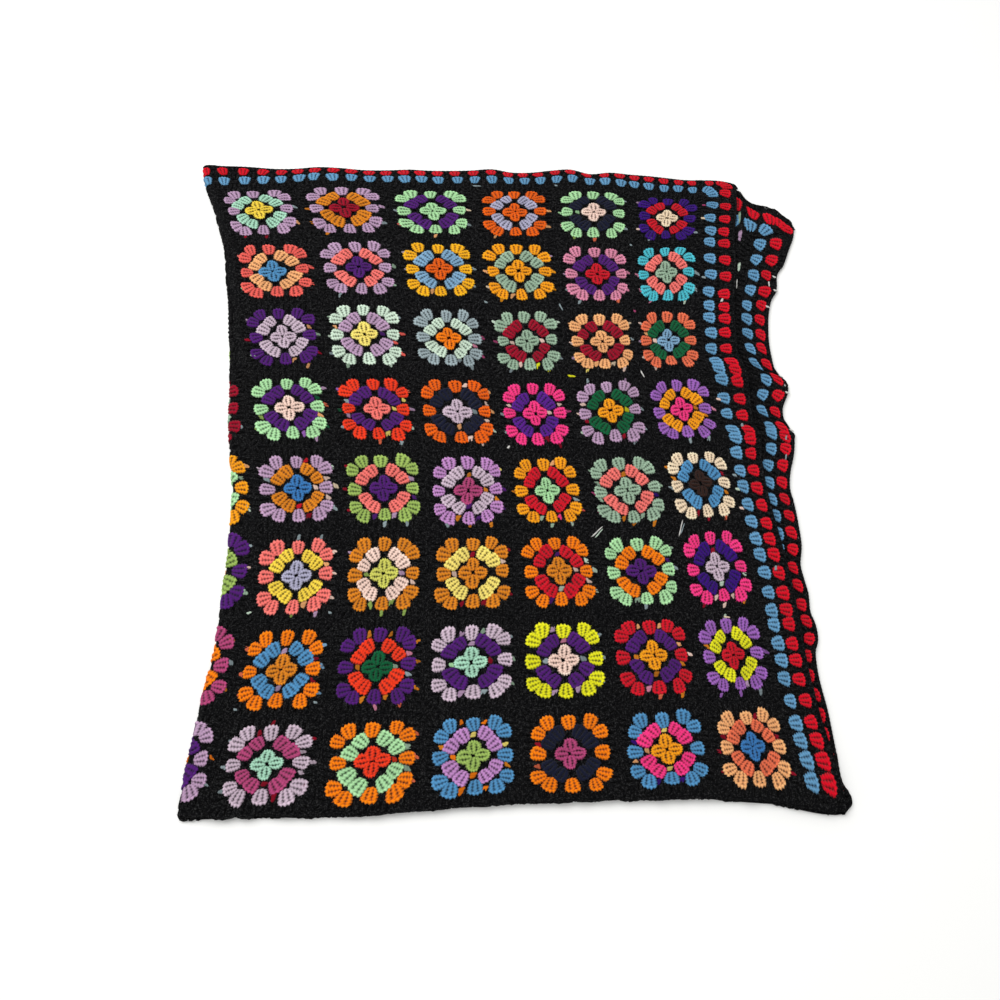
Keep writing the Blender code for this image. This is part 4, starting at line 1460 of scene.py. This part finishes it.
    def charted_loops(self) -> Rows:
        """The loops of spare yarn that show past the clusters, each turned with its square."""
        rng = np.random.default_rng(self.seed + 1)
        named = {name: numbers for name, *numbers in entries(self.loop_slots)}
        warp, middle = self.warps(), self.middles()
        found = []
        for row, line in enumerate(LOOPS):
            for column, words in enumerate(line.split(",")):
                column = self.cloth.left + (-1 if column == self.cloth.right else column)
                square = (column, 2 * self.cloth.long - 1 - row)
                yarn = Yarn.GREY
                for word in words.split():
                    if word in named:
                        found.append((named[word], yarn.light, middle[square], warp[square]))
                    else:
                        yarn = Yarn[word]
        slots, shades, middles, warps = (np.array(part, dtype=float) for part in zip(*found))
        count = len(found)
        return Rows(
            centre=slots[:, :2] + rng.normal(0, self.loop_wobble_mm, (count, 2)),
            heading=np.radians(slots[:, 2] + rng.normal(0, self.loop_lean_degrees, count)),
            size=slots[:, 3:5] * rng.uniform(*self.loop_sizes, (count, 2)),
            colour=shades * rng.uniform(*self.loop_shades, (count, 1)),
            kind=np.full(count, Kind.COLOURED),
            middle=middles,
            warp=warps,
        )

    def stray_ends(self) -> Rows:
        """The stray ends of yarn and the specks."""
        tails = entries(self.tails)
        ends = np.array([numbers for _, *numbers in tails], dtype=float)
        return Rows.loose(
            heading=np.radians(ends[:, 2]),
            size=ends[:, 3:5],
            colour=np.array([Yarn[name].light for name, *_ in tails]) * self.tail_tone,
            kind=np.full(len(ends), Kind.COLOURED),
            middle=ends[:, :2],
        )

    def loose_loops(self) -> Mesh:
        """The loops and ends: each is one stubby strand of five rings, a unit long and thin-tipped."""
        t = np.linspace(-0.5, 0.5, 5)
        centre = np.stack([0.06 * np.sin(4 * t), t, 0.2 - 0.5 * t], axis=1)
        wide = np.array([0.42, 0.52, 0.44, 0.46, 0.24])
        deep = np.array([1.0, 1.3, 1.1, 1.2, 0.7])
        # Painted shade: each loop is darker at its ends and its middle hollow, and on its sides.
        tone = np.array([0.6, 1.0, 0.75, 1.0, 0.8])
        ahead = np.tile([1.0, 0.0], (5, 1))
        shape = strand(centre, ahead, wide, deep, np.array([0.25, 0.0]), tone, 0 * t + 0.6, 6)
        loops, tails = self.charted_loops(), self.stray_ends()
        grid = tiles_a_side(len(loops) + len(tails))
        mesh = worked(loops, shape, self.cloth, tiles=(0, grid))
        return mesh + worked(
            tails, shape, self.cloth, lift=self.tail_lift_mm, tiles=(len(loops), grid)
        )

    def build(self, materials: list[bpy.types.Material]) -> list[bpy.types.Object]:
        """Make the squares that show, a piece a row, then the underside and what shows between."""
        rows = self.rows()
        across, from_fold, along = self.cloth.measured(rows.centre + rows.middle)
        line = np.floor(rows.middle[:, 1] * MM / self.cloth.square).astype(int)
        hidden = self.cluster.template(Detail.HIDDEN)
        pieces = []
        shown = (from_fold > -PAST_FOLD) & (along > -PAST_FOLD)
        for number in range(self.cloth.long):
            # The bottom row takes in the clusters that come round the bottom fold.
            here = shown & ((line == number) | ((number == 0) & (line == -1)))
            mesh = worked_finely(rows.pick(here), self.cluster, self.cloth)
            pieces.append(mesh.piece(f"squares_row_{self.cloth.long - number}", materials))
        below = (from_fold <= -PAST_FOLD) & (along > -PAST_FOLD)
        far = from_fold < -self.underside_split
        for name, part in (("left", far), ("right", ~far)):
            mesh = worked(rows.pick(below & part), hidden, self.cloth, loft=self.underside_loft)
            pieces.append(mesh.piece(f"underside_squares_{name}", materials))
        # The column of the next layer down that peeks out past the right side.
        tucked = (rows.kind != Kind.BLACK) & (across < -self.slit)
        last = rows.pick((from_fold < -self.peek) & (along < -PAST_FOLD) & ~tucked)
        mesh = worked(last, hidden, self.cloth, loft=self.peek_loft)
        pieces.append(mesh.piece("squares_under_the_side", materials))
        pieces.append(self.loose_loops().piece("loose_loops", materials))
        return pieces


# ---------------------------------------------------------------- the edging


@dataclass(frozen=True)
class Round:
    """One round of the edging. What it says of three places goes for the ends, the right and the left."""

    yarn: Yarn
    width: float  # of a cluster, in mm
    length: float
    out: tuple[float, float, float]  # how far the clusters' middles lie from the squares, in mm
    step_on: tuple[float, float, float]  # how far the clusters are moved on, in clusters
    corner: Knots  # shifts of the clusters at the lower layers' corner, in mm
    more: int = 0  # how many more clusters an end has
    drawn_in: bool = True  # whether the corner of the lower layers is drawn in


@dataclass
class Edging:
    """Five rounds of clusters round the joined squares, black, blue, black, red and black, and a rope."""

    cloth: FoldedCloth
    cluster: Cluster = field(default_factory=Cluster)
    seed: int = 5
    corner_spread: float = 24.0
    wobble_mm: float = 0.8
    lean_degrees: float = 5.0
    shades: Pair = (0.92, 1.06)
    sizes: Pair = (0.93, 1.06)
    end_step_mm: float = 26.325
    # Where each cluster of the ends lies, in squares across, past the left fold.
    end_places: tuple[float, ...] = (
        -0.03, 0.18, 0.43, 0.65, 0.85, 1.04, 1.21, 1.41, 1.61, 1.81, 2.00, 2.19, 2.38, 2.58, 2.80, 3.02,
        3.23, 3.44, 3.64, 3.84, 4.05, 4.25, 4.47, 4.68, 4.88, 5.06, 5.25, 5.44, 5.64, 5.83, 6.08,
    )  # fmt: skip
    # Where each cluster down the right side and the left one lies, in squares along.
    right_places: tuple[float, ...] = (
        8.10, 7.80, 7.53, 7.30, 7.09, 6.81, 6.55, 6.26, 6.05, 5.87, 5.65, 5.41, 5.18, 5.08, 4.93, 4.69,
        4.46, 4.24, 4.13, 3.93, 3.70, 3.48, 3.26, 3.05, 2.85, 2.66, 2.44, 2.21, 2.00, 1.84, 1.63, 1.43,
        1.22, 0.98, 0.74, 0.56, 0.38, 0.20, 0.03,
    )  # fmt: skip
    left_places: tuple[float, ...] = (
        8.08, 7.83, 7.59, 7.33, 7.09, 6.84, 6.62, 6.38, 6.14, 5.90, 5.66, 5.42, 5.16, 4.92, 4.82, 4.60,
        4.36, 4.11, 3.86, 3.62, 3.38, 3.14, 2.89, 2.64, 2.39, 2.17, 1.93, 1.69, 1.45, 1.21, 0.97, 0.73,
        0.49, 0.25, 0.01,
    )  # fmt: skip
    rounds: tuple[Round, ...] = (
        Round(Yarn.BLACK, 28.0, 20.0, (6.2, 3.0, 8.0), (0.5, 0.5, 0.5), ((0.0, 5.0), (5.0, 5.0))),
        Round(Yarn.BORDER_BLUE, 25.0, 23.5, (19.5, 14.5, 24.5), (0.0, 0.0, 0.0), ((-6.0, 13.0),)),
        Round(Yarn.BLACK, 28.0, 22.0, (33.0, 28.5, 36.0), (0.5, 0.5, 0.5), ((2.0, 9.0), (4.0, 7.0))),
        Round(
            Yarn.BORDER_RED, 24.5, 23.5, (46.0, 41.0, 47.0), (0.0, 0.0, -0.25),
            ((-5.0, 14.0), (-2.0, 9.0)), more=1,
        ),
        Round(
            Yarn.BLACK, 28.0, 14.0, (54.5, 53.5, 54.5), (0.5, 0.5, 0.5),
            ((0.0, 0.0), (0.0, 0.0)), more=1, drawn_in=False,
        ),
    )  # fmt: skip
    # Width and length of the clusters along each edge, as a share of the round's: at the shown end,
    # down the right side, at the end below and down the left side.
    shares: Knots = ((0.82, 0.95), (1.0, 1.0), (0.95, 1.0), (1.06, 0.82))
    # How the corner of the lower layers is drawn in, in mm: its side across, and its end across and
    # along, then the squares over which its side and its end are.
    drawn_in: tuple[float, float, float] = (7.0, -8.0, 14.0)
    drawn_side: Pair = (7.0, 7.9)
    drawn_end: Pair = (5.6, 6.6)
    # How far along an edge a corner's clusters lie, as a share of how far out they are: in the inner
    # rounds, and in those past `inner_mm`.
    corner_insets: Pair = (0.45, 0.8)
    inner_mm: float = 35.0
    inner_loft: float = 0.75
    rope_mm: float = 59.3
    rope_bend_mm: float = 8.0
    rope_half_mm: float = 2.3
    rope_step_mm: float = 3.3
    rope_hollow: float = 0.8
    rope_depth: float = 0.72
    rope_slant: float = 0.3
    # Painted shade of the rope, as factors on the black: at its sinks and its swells, and on its sides.
    painted_rope_shade: Pair = (0.6, 1.0)
    rope_painted_side_shade: float = 0.7

    def end_line(self, band: Round) -> Array:
        """Places across of a round's clusters at an end: evenly to the left fold, then as charted."""
        near = np.array(self.end_places) * self.cloth.square_mm
        first = -self.cloth.left * self.cloth.square_mm + 0.5 * self.end_step_mm
        first -= band.more * self.end_step_mm
        steps = int(np.round((near[0] - first) / self.end_step_mm))
        line = np.concatenate([np.linspace(first, near[0], steps + 1)[:-1], near])
        count = np.arange(len(line) - 1 + band.more) + band.step_on[0]
        return np.interp(np.clip(count, 0, len(line) - 1), np.arange(len(line)), line)

    def side_line(self, charted: tuple[float, ...], first: int, step_on: float) -> Array:
        """Places along of a round's clusters down a side: as charted, and mirrored on the half below."""
        count = np.clip(np.arange(first, len(charted) - 1) + step_on, 0, None)
        line = np.interp(count, np.arange(len(charted)), charted) * self.cloth.square_mm
        return np.concatenate([line, -line])

    def edges(self, band: Round) -> list[Array]:
        """A round's clusters side by side along the four edges.

        Args:
            band: The round.

        Returns:
            For each edge, rows of x, y, heading, and shares of the round's width and length.
        """
        low, high = self.cloth.field_mm
        at_ends, at_right, at_left = band.out
        ends = self.end_line(band)
        right = self.side_line(self.right_places, 1 - band.more, band.step_on[1])
        left = self.side_line(self.left_places, 1, band.step_on[2])
        side_in, end_across, end_along = np.array(self.drawn_in) * band.drawn_in
        parts = []
        for (places, axis, level, heading), share in zip(
            (
                (ends, 1, high[1] + at_ends, np.pi / 2),
                (right, 0, high[0] + at_right, 0.0),
                (ends, 1, low[1] - at_ends, -np.pi / 2),
                (left, 0, low[0] - at_left, np.pi),
            ),
            self.shares,
        ):
            points = np.full((len(places), 2), level)
            points[:, 1 - axis] = places
            if level < 0:
                reach = self.drawn_side if axis == 0 else self.drawn_end
                near = smoothstep(-places / self.cloth.square_mm, *reach)
                across = end_across * (1 + 0.5 * band.more)
                shift = (side_in, 0.0) if axis == 0 else (across, end_along)
                points += near[:, None] * np.array(shift)
            rest = np.tile((heading, *share), (len(places), 1))
            parts.append(np.column_stack([points, rest]))
        return parts

    def corners(self, band: Round) -> list[Array]:
        """A round's clusters at the four corners, fanned, two at each but where `corner` has one.

        Args:
            band: The round.

        Returns:
            A row for each cluster, as `edges` gives them.
        """
        low, high = self.cloth.field_mm
        at_ends, at_right, at_left = band.out
        turn = np.radians(self.corner_spread)
        parts = []
        for sx, sy in ((1, 1), (1, -1), (-1, 1), (-1, -1)):
            at = np.where(np.array([sx, sy]) > 0, high, low)
            out = at_right if sx > 0 else at_left
            up = np.arctan2(sy * np.cos(turn), sx * np.sin(turn))
            aside = np.arctan2(sy * np.sin(turn), sx * np.cos(turn))
            inset = self.corner_insets[out >= self.inner_mm]
            first = (*(at + (sx * inset * out, sy * at_ends)), up, 1.0, 1.0)
            second = (*(at + (sx * out, sy * inset * at_ends)), aside, 1.0, 1.0)
            shifts = band.corner if sx < 0 and sy < 0 else ((0, 0), (0, 0))
            for row, shift in zip((first, second), shifts):
                parts.append(np.array([row]) + (*shift, 0, 0, 0))
        return parts

    def rows(self, number: int) -> Rows:
        """Every cluster of one round."""
        rng = np.random.default_rng(self.seed + number)
        band = self.rounds[number]
        table = np.concatenate(self.edges(band) + self.corners(band))
        total = len(table)
        size = np.array([band.width, band.length]) * table[:, 3:]
        return Rows.loose(
            heading=table[:, 2] + np.radians(rng.normal(0, self.lean_degrees, total)),
            size=size * rng.uniform(*self.sizes, (total, 2)),
            colour=band.yarn.light * rng.uniform(*self.shades, (total, 1)),
            kind=np.full(total, Kind.BLACK if band.yarn is Yarn.BLACK else Kind.COLOURED),
            middle=table[:, :2] + rng.normal(0, self.wobble_mm, (total, 2)),
        )

    def rope(self) -> Mesh:
        """The rope of single stitches along the free edge: rings round a line with round corners.

        The line runs along each side in turn, and its rings swell and sink by turns.
        """
        low, high = self.cloth.field_mm
        low, high = low - self.rope_mm, high + self.rope_mm
        arc = np.linspace(0, np.pi / 2, 8)
        corners = []
        for k, (x, y) in enumerate(((high[0], high[1]), (low[0], high[1]), low, (high[0], low[1]))):
            middle = np.array([x, y]) - self.rope_bend_mm * np.sign([x, y])
            angle = np.pi / 2 * k + arc
            bend = np.stack([np.cos(angle), np.sin(angle)], axis=1)
            corners.append(middle + self.rope_bend_mm * bend)
        line = np.concatenate([*corners, corners[0][:1]])
        reach = reach_along(line)
        count = int(reach[-1] / self.rope_step_mm) // 2 * 2
        at = np.linspace(0, reach[-1], count + 1)
        centre = np.stack([np.interp(at, reach, line[:, k]) for k in (0, 1)], axis=1)
        ahead = np.gradient(centre, axis=0)
        ahead /= np.linalg.norm(ahead, axis=1, keepdims=True)
        out = np.stack([ahead[:, 1], -ahead[:, 0]], axis=1)
        swell = np.arange(count + 1) % 2 == 1
        half = self.rope_half_mm * np.where(swell, 1.0, self.rope_hollow)
        middle = np.column_stack([centre, np.zeros(count + 1)])
        # Painted shade: the sinks are darker than the swells, and the sides darker still.
        tone = np.where(swell, self.painted_rope_shade[1], self.painted_rope_shade[0])
        dark = np.full(count + 1, self.rope_painted_side_shade)
        slant = np.array([0.0, self.rope_slant])
        shape = strand(middle, out, half, half * self.rope_depth, slant, tone, dark, 6)
        return Mesh(
            points=self.cloth.lay(shape.points[:, :2], shape.points[:, 2]),
            faces=shape.faces,
            colour=Yarn.BLACK.light * shape.tone[:, None],
            atlas=shape.tile.reshape(-1, 2),
            strand=shape.strand.reshape(-1, 2),
            slot=np.ones(len(shape.faces)),
        )

    def build(self, materials: list[bpy.types.Material]) -> list[bpy.types.Object]:
        """Make the edging: finely where it shows from above, and simply elsewhere."""
        rows = sum((self.rows(number) for number in range(1, len(self.rounds))), self.rows(0))
        across, from_fold, along = self.cloth.measured(rows.middle)
        top = (from_fold > -PAST_FOLD) & (along > -PAST_FOLD)
        strip = (across < -self.cloth.left) & (along < PAST_FOLD)
        strip |= (from_fold < 0) & (along < -self.cloth.long)
        pieces = []
        for name, part in (("top", top), ("lower", strip)):
            mesh = worked_finely(rows.pick(part), self.cluster, self.cloth)
            pieces.append(mesh.piece(f"edging_{name}", materials))
        hidden = self.cluster.template(Detail.HIDDEN)
        inner = worked(rows.pick(~top & ~strip), hidden, self.cloth, loft=self.inner_loft)
        pieces.append(inner.piece("edging_inner", materials))
        pieces.append(self.rope().piece("edging_rope", materials))
        return pieces


# ---------------------------------------------------------------- the backing web, partly painted shade


@dataclass
class Web:
    """The thin web under the clusters, whole through both folds: partly the yarn they are worked into,
    partly painted shade, a dark sheet for the shadow in the slits between and behind them.

    It is a grid of squares, finer on the top face, where its openings lie between the lines.
    """

    cloth: FoldedCloth
    # Distances of the fine lines from a square's middle: the ring, the start and end of the gaps on
    # the diagonals, of those between pairs of clusters, and of those past the third round.
    lines_mm: tuple[float, ...] = (2.75, 8.5, 13.5, 24.5, 29.5, 53.0, 58.5)
    # Lines in squares: of a coarse square, of the last square before the left fold, where the end of
    # the layer that peeks out is raised and where its side is pulled, and over the edging at an end.
    coarse_lines: tuple[float, ...] = (0.0, 0.27, 0.73)
    last_lines: tuple[float, ...] = (-1.0, -0.73)
    raised_lines: tuple[float, ...] = (-0.36, -0.14, -0.07, 0.03, 0.06, 0.09, 0.12, 0.15, 0.19)
    pulled_lines: tuple[float, ...] = (0.38, 0.43, 0.48, 0.56, 0.67, 0.74, 0.81, 0.87)
    end_lines: tuple[float, ...] = (0.0, 0.3, 0.5, 0.7, 0.85, 1.0)
    height_mm: float = -0.7
    inset_mm: float = 4.0
    fold_steps: int = 8
    tone: float = 0.8
    # Painted shade: the web is darker than the black yarn.

    @property
    def end(self) -> float:
        """How far the web runs under the edging, in squares."""
        return (self.cloth.edge / MM - self.inset_mm) / self.cloth.square_mm

    def fine(self, squares: int) -> Array:
        """The fine lines of a run of squares from 0, with the seam before each."""
        lines = np.array(self.lines_mm)
        lines = np.concatenate([-lines[::-1], lines]) / self.cloth.square_mm + 0.5
        return np.concatenate([np.append([k], k + lines) for k in range(squares)])

    def coarse(self, squares: range, *more: Array) -> Array:
        """The coarse lines of a run of squares and some more lines, in order."""
        lines = np.array(self.coarse_lines)
        return np.sort(np.concatenate([*(k + lines for k in squares), *more]))

    def across_lines(self) -> tuple[Array, Array]:
        """Grid lines across in squares, and which of them lie at a distance from the left fold."""
        first = -self.cloth.left
        ends = np.array([first - self.end, first - self.end / 2])
        raised = first + np.array(self.raised_lines)
        left = self.coarse(range(first, -1), np.array(self.last_lines), ends, raised)
        fold = np.linspace(-self.cloth.fold_turn, self.cloth.fold_turn, self.fold_steps + 1)
        ends = self.cloth.right + np.array([0.0, self.end / 2, self.end])
        right = np.concatenate([self.fine(self.cloth.right), ends])
        follows = np.repeat([False, True, False], [len(left), len(fold), len(right)])
        return np.concatenate([left, fold, right]), follows

    def along_lines(self) -> Array:
        """Grid lines along in squares, fine on the half that shows."""
        turn = self.cloth.hairpin_turn
        fold = np.linspace(-turn, turn, self.fold_steps + 1)
        pulled = self.cloth.long - np.array(self.pulled_lines)
        under = self.coarse(range(self.cloth.long), pulled)[1:]
        outer = self.fine(self.cloth.long)[1:]
        ends = self.cloth.long + np.array(self.end_lines) * self.end
        return np.concatenate([-ends[::-1], -under[::-1], fold, outer, ends])

    def opening(self, local: Array) -> Array:
        """Which cells are open, by the distance of their middle from the square's, in mm.

        The ring's hole, the four gaps between the middle and second rounds, the four between pairs of
        the second, and the gaps past the third round's clusters.
        """
        ring, inner, outer, start, end, past_start, past_end = self.lines_mm
        near, far = np.min(np.abs(local), axis=-1), np.max(np.abs(local), axis=-1)
        diagonal = (near > inner) & (far < outer)
        between = (near < ring) & (far > start) & (far < end)
        past = (near < ring) | ((near > start) & (near < end))
        past &= (far > past_start) & (far < past_end)
        return (far < ring) | diagonal | between | past

    def build(self, materials: list[bpy.types.Material]) -> bpy.types.Object:
        """Make the web over the whole cloth, in black yarn darkened as painted shade."""
        lines, follows = self.across_lines()
        rows = self.along_lines()
        along = np.broadcast_to(rows[None, :], (len(lines), len(rows)))
        across = lines[:, None] + np.where(follows[:, None], self.cloth.fold_place(along), 0.0)
        side = self.cloth.square_mm
        flat = np.stack([across, along], axis=-1).reshape(-1, 2) * side
        i, j = np.meshgrid(np.arange(len(lines) - 1), np.arange(len(rows) - 1), indexing="ij")
        i, j = i.ravel(), j.ravel()
        first = i * len(rows) + j
        faces = np.stack([first, first + len(rows), first + len(rows) + 1, first + 1], axis=1)
        middle = flat[faces].mean(axis=1) / side
        shown = (middle > 0) & (middle < (self.cloth.right, self.cloth.long))
        local = (middle - np.floor(middle) - 0.5) * side
        kept = ~(shown.all(axis=1) & self.opening(local))
        faces = faces[kept]
        cell = np.array([1 / len(lines), 1 / len(rows)])
        corners = np.array([[0, 0], [1, 0], [1, 1], [0, 1]]) * cell
        tiles = np.stack([i / len(lines), j / len(rows)], axis=1)[kept]
        mesh = Mesh(
            points=self.cloth.lay(flat, np.full(len(flat), self.height_mm)),
            faces=faces,
            colour=np.tile(self.tone * Yarn.BLACK.light, (len(flat), 1)),
            atlas=(tiles[:, None, :] + corners[None]).reshape(-1, 2),
            strand=flat[faces].reshape(-1, 2),
            slot=np.ones(len(faces)),
        )
        return mesh.piece("web", materials)


# ---------------------------------------------------------------- the studio


@dataclass
class Studio:
    """A pale paper floor, soft light from above and the camera."""

    camera_place: tuple[float, float, float] = (0.008, -0.618, 1.451)
    camera_tilt: float = 20.5
    lens: float = 36.0
    sensor: float = 36.0
    floor_half: float = 8.0
    world_strength: float = 0.68
    key_power: float = 50.0
    key_place: tuple[float, float, float] = (-0.7, 0.5, 2.4)
    key_size: float = 2.2

    def build(self) -> None:
        """Make the floor, the lights and the camera."""
        scene = bpy.context.scene
        scene.view_settings.view_transform = "Standard"
        mesh = bpy.data.meshes.new("floor")
        half = self.floor_half
        corners = [(-half, -half, 0), (half, -half, 0), (half, half, 0), (-half, half, 0)]
        mesh.from_pydata(corners, [], [(0, 1, 2, 3)])
        mesh.materials.append(PaperFinish().material())
        floor = bpy.data.objects.new("floor", mesh)
        scene.collection.objects.link(floor)
        floor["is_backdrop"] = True

        world = bpy.data.worlds.new("studio")
        scene.world = world
        world.use_nodes = True
        background = world.node_tree.nodes["Background"]
        background.inputs["Color"].default_value = (1.0, 1.0, 1.0, 1.0)
        background.inputs["Strength"].default_value = self.world_strength

        light = bpy.data.lights.new("softbox", "AREA")
        light.energy, light.size = self.key_power, self.key_size
        lamp = bpy.data.objects.new("softbox", light)
        lamp.location = self.key_place
        aim = Vector((0.0, 0.0, 0.0)) - Vector(self.key_place)
        lamp.rotation_euler = aim.to_track_quat("-Z", "Y").to_euler()
        scene.collection.objects.link(lamp)

        lens = bpy.data.cameras.new("camera")
        lens.lens, lens.sensor_width = self.lens, self.sensor
        camera = bpy.data.objects.new("camera", lens)
        camera.location = self.camera_place
        camera.rotation_euler = (np.radians(self.camera_tilt), 0.0, 0.0)
        scene.collection.objects.link(camera)
        scene.camera = camera


def main() -> None:
    logging.basicConfig(level=logging.INFO, format="%(message)s")
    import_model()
    solid_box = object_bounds()
    Studio().build()
    cloth = FoldedCloth()
    coloured = YarnFinish("acrylic_worsted_yarn").material()
    black = YarnFinish(
        "black_acrylic_worsted_yarn", sheen=0.015, gloss=0.04, mottle=0.6, lint=0.032
    ).material()
    materials = [coloured, black]
    pieces = Squares(cloth).build(materials) + Edging(cloth).build(materials)
    web = Web(cloth).build(materials)
    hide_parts("square_field", "edging")
    for piece in [*pieces, web]:
        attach(piece, BODY)
    boxes = [[list(map(float, corner)) for corner in box] for box in (solid_box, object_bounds())]
    for low, high in boxes:
        LOG.info("box %s to %s", np.round(low, 4), np.round(high, 4))


if __name__ == "__main__":
    main()
